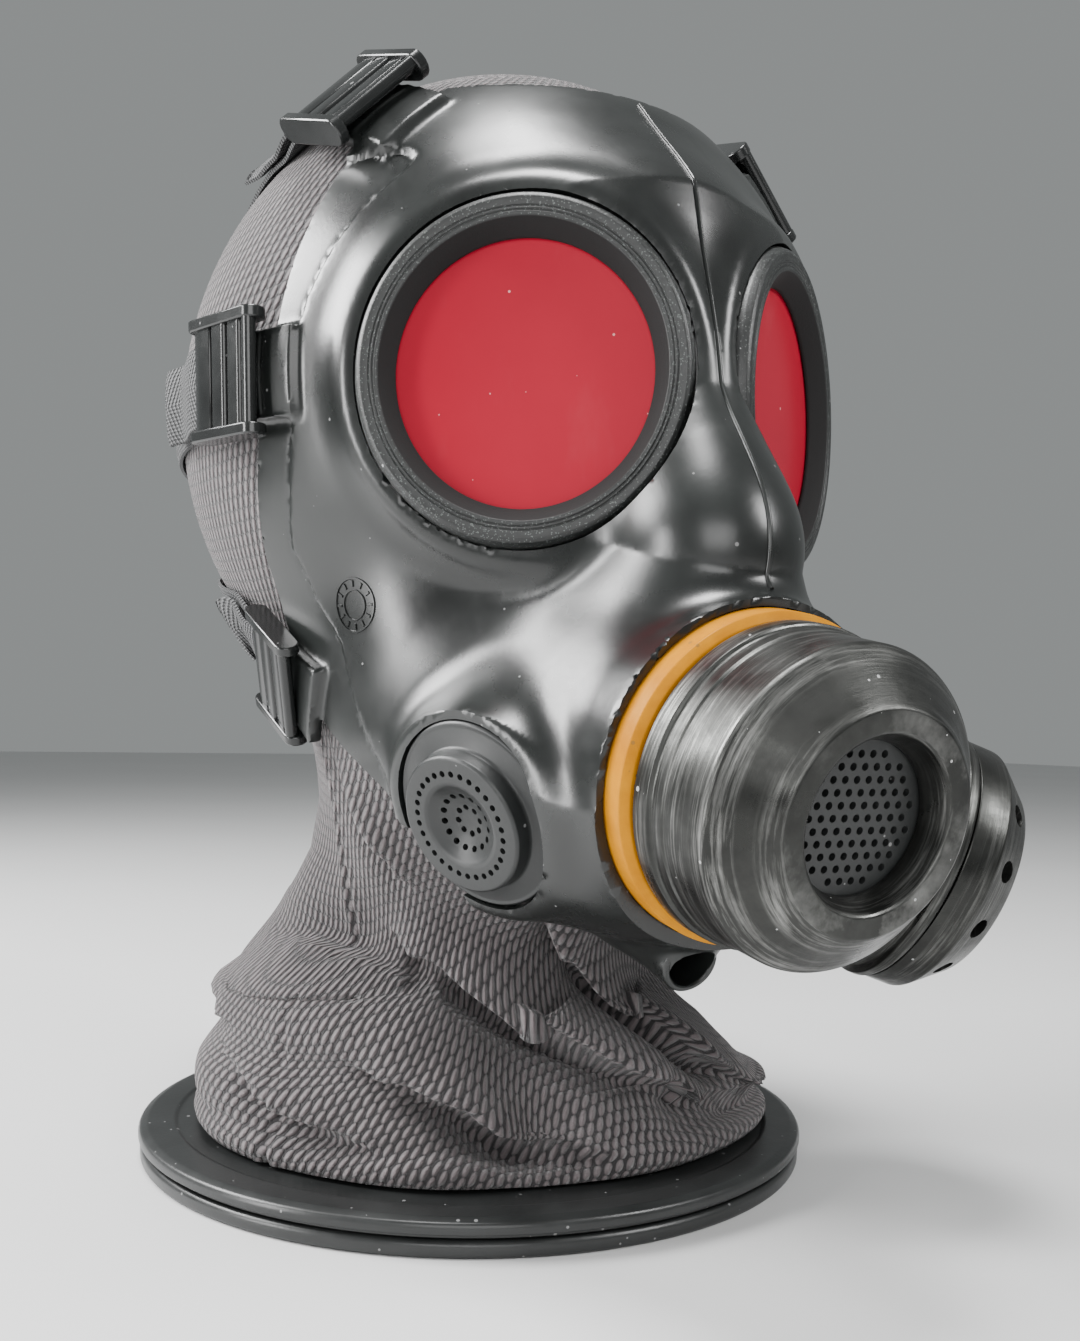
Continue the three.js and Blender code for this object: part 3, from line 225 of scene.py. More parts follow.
# %% Shared effects
def dust_group():
    tree, g, given, out = new_group(
        "Dust specks",
        [("Vector", VECTOR, None), ("Scale", FLOAT, 300.0), ("Amount", FLOAT, 0.1), ("Size", FLOAT, 0.2)],
        [("Mask", FLOAT)],
    )
    cells = g.node("ShaderNodeTexVoronoi", {"Vector": given["Vector"], "Scale": given["Scale"]})
    chance = g.node("ShaderNodeSeparateColor", {"Color": cells.outputs["Color"]}).outputs
    held = g.math("LESS_THAN", chance[0], given["Amount"])
    size = g.math("MULTIPLY", given["Size"], g.math("ADD", chance[1], 0.3))
    spot = g.math("LESS_THAN", cells.outputs["Distance"], size)
    g.tree.links.new(g.math("MULTIPLY", held, spot), out.inputs["Mask"])
    return tree


def scratch_group():
    tree, g, given, out = new_group(
        "Fine scratches",
        [("Vector", VECTOR, None), ("Scale", FLOAT, 60.0), ("Stretch", FLOAT, 14.0)],
        [("Mask", FLOAT)],
    )
    squeeze = g.node("ShaderNodeCombineXYZ", {"X": given["Stretch"], "Y": 1.0, "Z": 1.0}).outputs[0]
    scaled = g.node("ShaderNodeVectorMath", {0: given["Vector"], 1: squeeze}, operation="MULTIPLY").outputs[0]
    lines = g.noise(scaled, given["Scale"], 4.0, 0.6)
    g.tree.links.new(g.span(lines, 0.6, 0.72), out.inputs["Mask"])
    return tree


def mottle_group():
    tree, g, given, out = new_group(
        "Mottle",
        [("Vector", VECTOR, None), ("Scale", FLOAT, 20.0), ("Low", FLOAT, 0.35), ("High", FLOAT, 0.7)],
        [("Mask", FLOAT)],
    )
    cloud = g.noise(given["Vector"], given["Scale"], 6.0, 0.62)
    g.tree.links.new(g.span(cloud, given["Low"], given["High"]), out.inputs["Mask"])
    return tree


DUST, SCRATCHES, MOTTLE = dust_group(), scratch_group(), mottle_group()


def finish(name, rough, metal=0.0, **plain):
    material = bpy.data.materials.new(name)
    material.use_nodes = True
    shader = material.node_tree.nodes["Principled BSDF"]
    shader.inputs["Roughness"].default_value = rough
    shader.inputs["Metallic"].default_value = metal
    for key, value in plain.items():
        shader.inputs[key.replace("_", " ")].default_value = value
    graph = Graph(material.node_tree)
    place = graph.node("ShaderNodeTexCoord").outputs["Object"]
    return material, graph, shader, place


def feed(graph, shader, color=None, rough=None, normal=None, metal=None):
    for key, value in (("Base Color", color), ("Roughness", rough), ("Normal", normal), ("Metallic", metal)):
        if value is not None:
            graph.tree.links.new(value, shader.inputs[key])


# %% [markdown]
# The rubber is glossy black, but moulding, handling and dust keep it from being a mirror: wide
# patches bloom a little greyer, fine specks sit on it, and a slow waviness breaks the highlights.

# %% Rubber and plastics
def rubber_material():
    material, g, shader, place = finish("Black rubber", 0.27, IOR=1.52)
    bloom = g.group(MOTTLE, {"Vector": place, "Scale": 22.0, "Low": 0.35, "High": 0.75})["Mask"]
    specks = g.group(DUST, {"Vector": place, "Scale": 420.0, "Amount": 0.07, "Size": 0.13})["Mask"]
    lint = g.group(DUST, {"Vector": place, "Scale": 150.0, "Amount": 0.03, "Size": 0.07})["Mask"]
    wiped = g.group(SCRATCHES, {"Vector": place, "Scale": 26.0, "Stretch": 3.0})["Mask"]
    base = g.mix(bloom, grey(0.007, (0.95, 1.05, 1.0)), grey(0.016, (0.92, 1.06, 1.0)))
    dusted = g.mix(g.math("MULTIPLY", g.math("MAXIMUM", specks, lint), 0.7), base, grey(0.22))
    rough = g.span(bloom, 0, 1, 0.24, 0.36)
    rough = g.math("ADD", rough, g.math("MULTIPLY", wiped, 0.06))
    rough = g.math("ADD", rough, g.math("MULTIPLY", specks, 0.3))
    wave = g.bump(g.noise(place, 42.0, 2.0), 0.22, 0.0012)
    fine = g.bump(g.noise(place, 900.0, 2.0), 0.05, 0.0002, wave)
    feed(g, shader, dusted, rough, fine)
    return material


def plastic_material(name, shade, rough, grain_scale, grain_strength, speck_amount):
    material, g, shader, place = finish(name, rough, IOR=1.48)
    cloud = g.group(MOTTLE, {"Vector": place, "Scale": 60.0, "Low": 0.3, "High": 0.8})["Mask"]
    specks = g.group(DUST, {"Vector": place, "Scale": 520.0, "Amount": speck_amount, "Size": 0.2})["Mask"]
    base = g.mix(cloud, grey(shade, (0.96, 1.03, 1.02)), grey(shade * 1.7, (0.96, 1.03, 1.02)))
    dusted = g.mix(g.math("MULTIPLY", specks, 0.6), base, grey(0.3))
    roughness = g.span(cloud, 0, 1, rough - 0.06, rough + 0.08)
    grain = g.bump(g.noise(place, grain_scale, 3.0), grain_strength, 0.0003)
    feed(g, shader, dusted, roughness, grain)
    return material


def bezel_material(name, fitting):
    """Black plastic with a fine grain, lighter specks painted as glints on its face, and a mouth painted
    near-black as shade.
    """
    material, g, shader, place = finish(name, 0.42, IOR=1.5)
    turned_place = along_axis(g, place, fitting)
    parts = g.node("ShaderNodeSeparateXYZ", {"Vector": turned_place}).outputs
    flat = g.node("ShaderNodeCombineXYZ", {"Y": parts[1], "Z": parts[2]}).outputs[0]
    out = g.node("ShaderNodeVectorMath", {0: flat}, operation="LENGTH").outputs["Value"]
    # Painted shade: inside the mouth the colour drops to near-black and the roughness rises, standing in for
    # the shadow in the recess.
    painted_mouth_shade = g.span(out, (MOUTH_RADIUS - 0.1) * MM, (MOUTH_RADIUS + 0.3) * MM, 1.0, 0.0)
    cells = g.node("ShaderNodeTexVoronoi", {"Vector": place, "Scale": 4200.0})
    tint = g.node("ShaderNodeSeparateColor", {"Color": cells.outputs["Color"]}).outputs[0]
    # Painted glints: a few grain cells are coloured lighter, standing in for light caught by the grain.
    painted_glint = g.math("GREATER_THAN", tint, 0.93)
    base = g.mix(g.math("MULTIPLY", painted_glint, 0.5), grey(0.012, (0.95, 1.03, 1.0)), grey(0.16, (0.95, 1.05, 1.0)))
    specks = g.group(DUST, {"Vector": place, "Scale": 500.0, "Amount": 0.03, "Size": 0.14})["Mask"]
    rough = g.span(tint, 0, 1, 0.36, 0.5)
    normal = g.bump(g.noise(place, 1800.0, 3.0, 0.6), 0.3, 0.0002)
    face = g.mix(specks, base, grey(0.35))
    rough = g.math("MAXIMUM", rough, g.math("MULTIPLY", painted_mouth_shade, 0.85))
    feed(g, shader, g.mix(painted_mouth_shade, face, grey(0.0015)), rough, normal)
    return material


def lens_material():
    """Coral-red lens, dyed through: even colour, a clear gloss and a scatter of pale dust."""
    material, g, shader, place = finish("Red lens", 0.25, IOR=1.15)
    cloud = g.group(MOTTLE, {"Vector": place, "Scale": 14.0, "Low": 0.3, "High": 0.75})["Mask"]
    specks = g.group(DUST, {"Vector": place, "Scale": 330.0, "Amount": 0.12, "Size": 0.1})["Mask"]
    smears = g.group(SCRATCHES, {"Vector": place, "Scale": 40.0, "Stretch": 2.5})["Mask"]
    base = g.mix(cloud, (0.33, 0.008, 0.024, 1), (0.38, 0.012, 0.03, 1))
    marks = g.math("MAXIMUM", specks, g.math("MULTIPLY", smears, 0.02))
    feed(g, shader, g.mix(g.math("MULTIPLY", marks, 0.6), base, (0.9, 0.5, 0.48, 1)))
    return material


RUBBER = rubber_material()
BLACK_PLASTIC = plastic_material("Semi-matte black plastic", 0.014, 0.42, 700.0, 0.12, 0.05)
BUCKLE_PLASTIC = plastic_material("Glossy buckle plastic", 0.01, 0.2, 300.0, 0.04, 0.03)
STAND_PLASTIC = plastic_material("Satin stand plastic", 0.013, 0.36, 900.0, 0.1, 0.12)
RED_LENS = lens_material()


# %% [markdown]
# The canisters are dark machined metal, worn by handling. Streaks run round the axis, so the
# pattern is made in the fitting's own directions: a matrix of three vectors turns a place into
# distance along the axis and angle round it, and noise stretched round the axis gives the streaks.

# %% Worn metal and yellow paint
def along_axis(g, place, fitting):
    """Place in a fitting's own directions, in metres: its X runs along the axis."""
    centre, across, up, along = fitting
    inputs = {0: place, 1: tuple(centre * MM)}
    moved = g.node("ShaderNodeVectorMath", inputs, operation="SUBTRACT").outputs[0]
    parts = []
    for direction in (along, across, up):
        node = g.node("ShaderNodeVectorMath", {0: moved, 1: tuple(direction)}, operation="DOT_PRODUCT")
        parts.append(node.outputs["Value"])
    return g.node("ShaderNodeCombineXYZ", {"X": parts[0], "Y": parts[1], "Z": parts[2]}).outputs[0]


def metal_material(name, fitting, dark, light, wear):
    material, g, shader, place = finish(name, 0.34, 0.85, IOR=1.6)
    turned_place = along_axis(g, place, fitting)
    inputs = {0: turned_place, 1: (22.0, 1.0, 1.0)}
    thin = g.node("ShaderNodeVectorMath", inputs, operation="MULTIPLY").outputs[0]
    streaks = g.noise(thin, 70.0, 5.0, 0.65)
    bands = g.noise(thin, 9.0, 2.0, 0.5)
    stain = g.group(MOTTLE, {"Vector": place, "Scale": 95.0, "Low": 0.42, "High": 0.62})["Mask"]
    cloud = g.group(MOTTLE, {"Vector": place, "Scale": 24.0, "Low": 0.35, "High": 0.7})["Mask"]
    rub = g.math("MULTIPLY", g.span(streaks, 0.45, 0.72), g.span(bands, 0.4, 0.62))
    base = g.mix(g.math("MULTIPLY", cloud, 0.6), grey(dark, (1.0, 1.02, 0.96)), grey(light, (1.0, 1.02, 0.96)))
    base = g.mix(g.math("MULTIPLY", rub, wear), base, grey(0.42, (1.0, 1.0, 0.96)))
    base = g.mix(g.math("MULTIPLY", stain, 0.35), base, grey(dark * 0.6))
    specks = g.group(DUST, {"Vector": place, "Scale": 420.0, "Amount": 0.06, "Size": 0.16})["Mask"]
    base = g.mix(g.math("MULTIPLY", specks, 0.7), base, grey(0.5))
    rough = g.math("ADD", g.span(stain, 0, 1, 0.26, 0.42), g.math("MULTIPLY", cloud, 0.1))
    lines = g.bump(streaks, 0.18, 0.0003)
    metal = g.math("SUBTRACT", 0.9, g.math("MULTIPLY", specks, 0.8))
    feed(g, shader, base, rough, lines, metal)
    return material


def yellow_material():
    material, g, shader, place = finish("Amber paint", 0.5, IOR=1.25, Specular_IOR_Level=0.2)
    cloud = g.group(MOTTLE, {"Vector": place, "Scale": 75.0, "Low": 0.35, "High": 0.7})["Mask"]
    rub = g.group(SCRATCHES, {"Vector": place, "Scale": 60.0, "Stretch": 2.0})["Mask"]
    base = g.mix(cloud, (0.5, 0.2, 0.003, 1), (0.36, 0.13, 0.002, 1))
    base = g.mix(g.math("MULTIPLY", rub, 0.25), base, (0.3, 0.17, 0.03, 1))
    specks = g.group(DUST, {"Vector": place, "Scale": 420.0, "Amount": 0.07, "Size": 0.18})["Mask"]
    base = g.mix(g.math("MULTIPLY", specks, 0.6), base, (0.16, 0.1, 0.04, 1))
    feed(g, shader, base, g.span(cloud, 0, 1, 0.34, 0.5), g.bump(g.noise(place, 240.0, 3.0), 0.12, 0.0004))
    return material


AMBER = yellow_material()


# %% [markdown]
# Every round fitting of the mask has a frame: a centre and an outward axis. These are the same
# sizes as in the CAD model, and each detailed piece below is set on them.

# %% Fittings
def fitting(spread, forward, height, yaw, pitch, side):
    flat = math.cos(math.radians(pitch))
    axis = (side * math.sin(math.radians(yaw)) * flat, -math.cos(math.radians(yaw)) * flat,
            math.sin(math.radians(pitch)))
    return axis_frame((side * spread, -forward, height), axis)


# Eyepieces: rubber boss, bezel, hub behind it, pocket for the lens
EYE_BOSS, BEZEL_RADIUS, BEZEL_HEIGHT, MOUTH_RADIUS = 38.7, 36, 4.4, 30.5
HUB_RADIUS, HUB_END, POCKET_RADIUS, SIGHT_RADIUS, LENS_SEAT = 31.2, -10.4, 29.6, 27.5, -4.6
# Front port: lip, ring and bore. The ring's rear lies on the seat.
LIP_RADIUS, LIP_FACE, PORT_BORE = 36.4, -1.6, 29.4
RING_RADIUS, RING_LOW, RING_LENGTH = 34.55, -3.2, 8.3
# Cheek ports: boss, rim, bore and the depth of the hub behind the seat
CHEEK_BOSS, CHEEK_RIM, CHEEK_BORE, CHEEK_SEAT, CHEEK_HUB = 23.6, 21.5, 16.6, -2.4, 5
TUBE_RADIUS, TUBE_BORE = 7, 5.3
SEAT_GAP, SEAT_WALL, SEAT_REACH = 0.3, 2.2, 18

RIGHT, LEFT = -1, 1
SIDES = {"right": RIGHT, "left": LEFT}
EYES = {name: fitting(36, 91.1, 194.3, 35.1, 0.95, side) for name, side in SIDES.items()}
CHEEKS = {name: fitting(43.2, 88.6, 101.9, 68.6, -20.6, side) for name, side in SIDES.items()}
PORT = fitting(0, 128, 111.1, 0, -10.16, RIGHT)
TUBE = fitting(0, 108.5, 69.4, 0, -20, RIGHT)
STAND = axis_frame((0, 0, 0), (0, 0, 1))

GUNMETAL = metal_material("Worn gunmetal", PORT, 0.03, 0.1, 0.75)
SIDE_METAL = metal_material("Side canister metal", CHEEKS["left"], 0.03, 0.09, 0.4)
print("fittings:", len(EYES) + len(CHEEKS) + 2)


# %% [markdown]
# The facepiece is one smooth rubber form with no straight edge to start from. It is described
# here as a distance: how far a place is outside the rubber, from ellipsoids and balls that flow
# into each other. A distance is easy to blend, to hollow by a wall and to pierce with bores. The
# surface where it is zero is then found on a fine grid, one point for each cell that it crosses.

# %% Distances that describe the head and the rubber
HEAD_HALF, HEAD_CENTRE = np.array([79.6, 99, 84.4]), np.array([0, 0, 200.3])
RUBBER_WALL, RUBBER_CLEARANCE = 1.8, 1.7
LIFT = RUBBER_WALL + RUBBER_CLEARANCE
JAW_HALF, JAW_CENTRE = np.array([59, 54, 50]) - LIFT, np.array([0, -40.6, 121.9])
CHIN_HEIGHT, FACE_LOW, RIM_TOP, RIM_OVERLAP = 72, 92, 261, 9
NECK_RADIUS, SKIRT_RADIUS = 46, 77
RIM_ROWS = np.array([(0.34, -0.84), (0.42, -0.78), (0.5, -0.67), (0.55, -0.53), (0.61, -0.33), (0.66, -0.24),
                     (0.71, -0.21), (0.8, -0.25), (0.92, -0.37), (1.02, -0.45), (1.14, -0.48), (1.24, -0.51),
                     (1.32, -0.6)])
SKIRT_ROWS = np.array([(0, 1.0, 0), (0.07, 1.0, 0), (0.15, 0.86, 0.02), (0.27, 0.42, 0.09), (0.36, 0.26, 0.04),
                       (0.43, 0.08, -0.04), (0.5, 0, -0.06), (0.7, 0, -0.06)])
# Brow to nose, and muzzle to chin: two balls each, and how softly they flow into the face
BROW, BROW_EASE = ((0, -74.4, 207.3), 35.9, (0, -103, 182.4), 7.1), 12.5
MUZZLE, MUZZLE_EASE = ((0, -112.4, 156.6), 17.5, (0, -100.3, 110.5), 41.9), 32.8
FOLD_ROWS = [(-22, 0.07, 34, 0.05, 10), (-75, 0.2, 22, 0.05, 7), (-104, 0.14, 14, 0.07, -7),
             (-135, 0.25, 26, 0.05, 6), (178, 0.13, 24, 0.06, 6), (120, 0.1, 26, 0.06, 5),
             (62, 0.12, 24, 0.06, 6)]


def blend(a, b, width):
    overlap = np.maximum(width - np.abs(a - b), 0) / width
    return np.minimum(a, b) - overlap * overlap * width / 4


def ellipsoid_gap(p, centre, half):
    q = p - centre
    k0 = np.sqrt(((q / half) ** 2).sum(-1))
    k1 = np.sqrt(((q / half ** 2) ** 2).sum(-1))
    return k0 * (k0 - 1) / np.maximum(k1, 1e-6)


def balls_gap(p, a, ra, b, rb):
    a, b = np.array(a, float), np.array(b, float)
    along = b - a
    share = np.clip((p - a) @ along / (along @ along), 0, 1)
    nearest = a + share[..., None] * along
    return np.linalg.norm(p - nearest, axis=-1) - (ra + (rb - ra) * share)


def boss_gap(p, place, radius, low, high, edge):
    q = p - place[0]
    s = q @ place[3]
    out = np.sqrt(np.maximum((q * q).sum(-1) - s * s, 0))
    beside = out - (radius - edge)
    beyond = np.abs(s - (low + high) / 2) - ((high - low) / 2 - edge)
    outside = np.sqrt(np.maximum(beside, 0) ** 2 + np.maximum(beyond, 0) ** 2)
    return np.minimum(np.maximum(beside, beyond), 0) + outside - edge


def head_gap(p, margin):
    skull = ellipsoid_gap(p, HEAD_CENTRE, HEAD_HALF + margin)
    return blend(skull, ellipsoid_gap(p, JAW_CENTRE, JAW_HALF + margin), 24)


def skirt_gap(p):
    share = p[..., 2] / HEAD_CENTRE[2]
    back = np.interp(share, SKIRT_ROWS[:, 0], SKIRT_ROWS[:, 2]) * HEAD_HALF[1]
    spread = np.interp(share, SKIRT_ROWS[:, 0], SKIRT_ROWS[:, 1])
    radius = NECK_RADIUS + (SKIRT_RADIUS - NECK_RADIUS) * spread
    turn = np.degrees(np.arctan2(p[..., 1] - back, p[..., 0]))
    for fold_turn, height, width, rise, push in FOLD_ROWS:
        off = (turn - fold_turn + 180) % 360 - 180
        radius = radius + push * np.exp(-((off / width) ** 2) - ((share - height) / rise) ** 2)
    beside = np.hypot(p[..., 0], p[..., 1] - back) - radius
    return np.maximum(beside * 0.8, p[..., 2] - HEAD_CENTRE[2] * 0.7)


def hood_gap(p):
    return blend(head_gap(p, 0), skirt_gap(p), 20)


def rim_depth(height):
    heights = np.arange(60, 280, 1.0)
    depths = np.interp(heights / HEAD_CENTRE[2], RIM_ROWS[:, 0], RIM_ROWS[:, 1]) * HEAD_HALF[1]
    reach = np.arange(-12, 13)
    weights = np.exp(-((reach / 5) ** 2))
    padded = np.pad(depths, len(reach) // 2, mode="edge")
    return np.interp(height, heights, np.convolve(padded, weights / weights.sum(), mode="valid"))


def rubber_gap(point):
    p = np.array(point, float)
    p[..., 0] = np.abs(p[..., 0])
    gap = np.minimum(head_gap(p, LIFT), hood_gap(p) - LIFT)
    gap = blend(gap, balls_gap(p, *BROW), BROW_EASE)
    gap = blend(gap, balls_gap(p, *MUZZLE), MUZZLE_EASE)
    gap = -blend(-gap, p[..., 2] - CHIN_HEIGHT, 14)
    gap = blend(gap, boss_gap(p, PORT, LIP_RADIUS, -42, LIP_FACE, 0.6), 5)
    gap = np.maximum(gap, (p - PORT[0]) @ PORT[3] - LIP_FACE)
    gap = blend(gap, boss_gap(p, EYES["left"], EYE_BOSS, -30, -BEZEL_HEIGHT - SEAT_GAP, 1.2), 9)
    return blend(gap, boss_gap(p, CHEEKS["left"], CHEEK_BOSS, -24, 0, 0.5), 10)


def slope(gap, p, step=0.4):
    """Outward direction of a distance at each place."""
    parts = [gap(p + step * axis) - gap(p - step * axis) for axis in np.eye(3)]
    return unit(np.stack(parts, -1) + 1e-12)


def cast_out(gap, centre, direction, reach=190, step=2.0):
    """Outermost zero of a distance along directions from a centre, for many at once."""
    centre, direction = np.broadcast_arrays(np.asarray(centre, float), direction)
    inside = np.zeros(direction.shape[:-1])
    for t in np.arange(step, reach, step):
        inside = np.where(gap(centre + direction * t) < 0, t, inside)
    low, high = inside, inside + step
    for _ in range(12):
        middle = (low + high) / 2
        within = gap(centre + direction * middle[..., None]) < 0
        low, high = np.where(within, middle, low), np.where(within, high, middle)
    return centre + direction * low[..., None]


def on_hood(places):
    return cast_out(hood_gap, HEAD_CENTRE, unit(np.asarray(places, float) - HEAD_CENTRE))


# %% [markdown]
# The rubber's own details are added to the same distance: the body stands a step higher than the
# thin flange round the hood, and a web runs down the chin to the drink tube. Then the form is
# hollowed and pierced.

# %% The facepiece as a hollow shell
FLANGE_ROWS = np.array([(105, -60.5), (110, -59), (125, -51), (140, -45), (149, -38.5), (161, -36.1),
                        (173, -42.5), (185, -47.4), (202, -50.5), (212, -52.3), (225, -57.4), (235, -63),
                        (241, -67)])
FLANGE_TOP = 243
# The net needs a wall thicker than a cell's diagonal, so its hidden inside lies a little deeper
NET_WALL = 2.4
FLANGE_STEP = 1.0
CHIN_WEB, CHIN_WEB_EASE = ((0, -92, 78), 10, (0, -104, 70.5), 6.6), 9
# Rounding of an edge that stays crisp
CRISP = 0.05


def flange_relief(p):
    """How far the surface sinks behind the flange's edge line, with a thin groove along it."""
    line = np.interp(p[..., 2], FLANGE_ROWS[:, 0], FLANGE_ROWS[:, 1])
    behind = blend((p[..., 1] - line) * 0.9, FLANGE_TOP - p[..., 2], 9) + 0.6
    fade = np.clip((p[..., 2] - 104) / 8, 0, 1)
    step = 1 / (1 + np.exp(-np.clip(behind, -9, 9) * 3.2))
    groove = np.exp(-((behind / 0.75) ** 2)) * 0.45
    return fade * (FLANGE_STEP * step + groove)


STRAP_WIDTH, STRAP_THICKNESS = 19, 1.5
TAB_THICKNESS, TAB_EMBED = 3.2, 1.3
TAB_LIFT = LIFT - TAB_EMBED
SHARES = {
    "temple": [(-0.829, -0.626, -0.039), (-0.98, -0.343, -0.027), (-1.005, 0.04, -0.015),
               (-0.729, 0.707, -0.027), (0, 1.01, -0.039)],
    "cheek": [(-0.729, -0.465, -0.975), (-0.791, -0.192, -0.857), (-0.854, 0.141, -0.691),
              (-0.578, 0.626, -0.501), (0, 0.848, -0.454)],
    "top": [(-0.59, -0.707, 0.541), (-0.653, -0.424, 0.684), (-0.653, 0.141, 0.731),
            (-0.503, 0.707, 0.423), (-0.176, 0.99, 0.032)],
}
ROUTES = {name: [HEAD_CENTRE + HEAD_HALF * row for row in np.array(rows)] for name, rows in SHARES.items()}


def strap_frame(name, side):
    """A strap's place on the hood at its buckle, with its directions across, along and outwards."""
    front, middle, behind = (place * (-side, 1, 1) for place in ROUTES[name][:3])
    base = on_hood(middle)
    normal = slope(hood_gap, base[None])[0]
    along = on_hood(middle + (behind - middle) * 0.2) - on_hood(middle + (front - middle) * 0.2)
    along = unit(along - normal * (along @ normal))
    return base, np.cross(along, normal), along, normal


def tabs_gap(p):
    """Distance to the three strap tabs of one side, which follow the hood at a fixed lift."""
    tabs = np.full(p.shape[:-1], 99.0)
    height = np.abs(hood_gap(p) - TAB_LIFT - TAB_THICKNESS / 2) - (TAB_THICKNESS / 2 - TAB_EASE)
    for base, across, along, start in TAB_FRAMES:
        q = p - base
        beside = np.abs(q @ across) - (STRAP_WIDTH / 2 - TAB_EASE)
        length = q @ along
        beyond = np.abs(length + start / 2) - (start / 2 - TAB_EASE)
        three = np.stack([beside, beyond, height], -1)
        outside = np.sqrt((np.maximum(three, 0) ** 2).sum(-1))
        tabs = np.minimum(tabs, outside + np.minimum(three.max(-1), 0) - TAB_EASE)
    return tabs


TAB_EASE = 0.9
TAB_STARTS = {"temple": 20, "cheek": 20, "top": 22}
TAB_FRAMES = [(*strap_frame(name, LEFT)[:3], TAB_STARTS[name]) for name in ROUTES]
# Each round seat: place, radius, floor's radius, height, bore and how far the floor rises outside
SEATS = [(PORT, RING_RADIUS, 35.6, RING_LOW, PORT_BORE, 0),
         (EYES["left"], BEZEL_RADIUS, 38.5, -BEZEL_HEIGHT, HUB_RADIUS, 16),
         (CHEEKS["left"], CHEEK_RIM, 22.5, CHEEK_SEAT, CHEEK_BORE, 0)]


def facepiece_gap(point):
    p = np.array(point, float)
    p[..., 0] = np.abs(p[..., 0])
    relief = flange_relief(p)
    plain = rubber_gap(p) + relief
    outer = blend(plain, balls_gap(p, *CHIN_WEB), CHIN_WEB_EASE)
    shell = np.maximum(outer, -(plain + NET_WALL))
    for place, _, floor, seat, _, rise in SEATS:
        ring = boss_gap(p, place, floor, seat - SEAT_GAP - SEAT_WALL, seat + rise, CRISP)
        shell = np.minimum(shell, np.maximum(ring, outer))
    for place, radius, _, seat, bore, _ in SEATS:
        shell = np.maximum(shell, -boss_gap(p, place, bore + SEAT_GAP, -SEAT_REACH, SEAT_REACH, CRISP))
        shell = np.maximum(shell, -boss_gap(p, place, radius + SEAT_GAP, seat - SEAT_GAP, SEAT_REACH, CRISP))
    shell = np.maximum(shell, -boss_gap(p, TUBE, TUBE_BORE, -30, 12, CRISP))
    behind_rim = (p[..., 1] - rim_depth(p[..., 2])) * 0.85
    rim = np.maximum(behind_rim, p[..., 2] - RIM_TOP)
    return blend(np.maximum(shell, rim), tabs_gap(p), 2.2)


# %% [markdown]
# Each grid cell that the surface crosses gives one point. Where the surface is smooth the mean of
# the crossings does. At an edge, such as a seat or the rim, the mean would cut the corner, so the
# point is put where the tangent planes of the crossings meet, and edges stay crisp.

# %% A surface through the cells of a grid
def settle_on(gap, points, rounds=3, reach=0.5):
    """Moves points onto the zero of a distance, a short way at a time."""
    for _ in range(rounds):
        away = slope(gap, points, 0.15)
        points = points - away * np.clip(gap(points), -reach, reach)[:, None]
    return points


def edge_crossings(gap, values, origin, step, axis):
    """Places and outward directions where the grid's edges along an axis cross the surface."""
    low = np.moveaxis(values, axis, 0)
    at = np.argwhere((low[:-1] < 0) != (low[1:] < 0))
    order = [axis] + [a for a in range(3) if a != axis]
    nodes = np.empty_like(at)
    nodes[:, order] = at
    far = nodes + np.eye(3, dtype=int)[axis]
    va, vb = values[tuple(nodes.T)], values[tuple(far.T)]
    a, b = nodes.astype(float), far.astype(float)
    for _ in range(3):
        share = np.clip(va / np.where(va == vb, 1, va - vb), 0.05, 0.95)
        middle = a + share[:, None] * (b - a)
        vm = gap(origin + middle * step)
        same = (vm < 0) == (va < 0)
        a, va = np.where(same[:, None], middle, a), np.where(same, vm, va)
        b, vb = np.where(same[:, None], b, middle), np.where(same, vb, vm)
    place = a + (va / np.where(va == vb, 1, va - vb))[:, None] * (b - a)
    return nodes, place, slope(gap, origin + place * step, 0.06)


# How firmly a point at a crease holds to the mean of its crossings, and how alike their outward
# directions are where there is no crease
FIRM, ALIKE = 0.08, 0.95


def surface_net(gap, values, origin, step):
    inside = values < 0
    nx, ny, nz = (n - 1 for n in values.shape)
    corners = [(i, j, k) for i in (0, 1) for j in (0, 1) for k in (0, 1)]
    filled = sum(inside[i:nx + i, j:ny + j, k:nz + k].astype(np.int8) for i, j, k in corners)
    cells = np.argwhere((filled > 0) & (filled < 8))
    index = np.full((nx, ny, nz), -1)
    index[tuple(cells.T)] = np.arange(len(cells))
    total, hits = np.zeros((len(cells), 3)), np.zeros(len(cells))
    spread, pull, mean_out = np.zeros((len(cells), 3, 3)), np.zeros((len(cells), 3)), np.zeros((len(cells), 3))
    for axis in range(3):
        nodes, place, out = edge_crossings(gap, values, origin, step, axis)
        edge = np.full(values.shape, -1)
        edge[tuple(nodes.T)] = np.arange(len(nodes))
        for corner in [c for c in corners if c[axis] == 0]:
            found = edge[tuple((cells + corner).T)]
            has = found >= 0
            q, n = place[found[has]], out[found[has]]
            total[has] += q
            hits[has] += 1
            mean_out[has] += n
            spread[has] += n[:, :, None] * n[:, None, :]
            pull[has] += n * (n * q).sum(1, keepdims=True)
    mean = total / hits[:, None]
    lean = spread + FIRM * np.eye(3)
    meet = np.linalg.solve(lean, (pull + FIRM * mean)[..., None])[..., 0]
    meet = np.clip(meet, cells - 0.1, cells + 1.1)
    creased = np.linalg.norm(mean_out, axis=1) / hits < ALIKE
    points = origin + mean * step
    points[~creased] = settle_on(gap, points[~creased])
    points[creased] = origin + meet[creased] * step
    return points, np.concatenate([net_faces(inside, index, axis) for axis in range(3)])


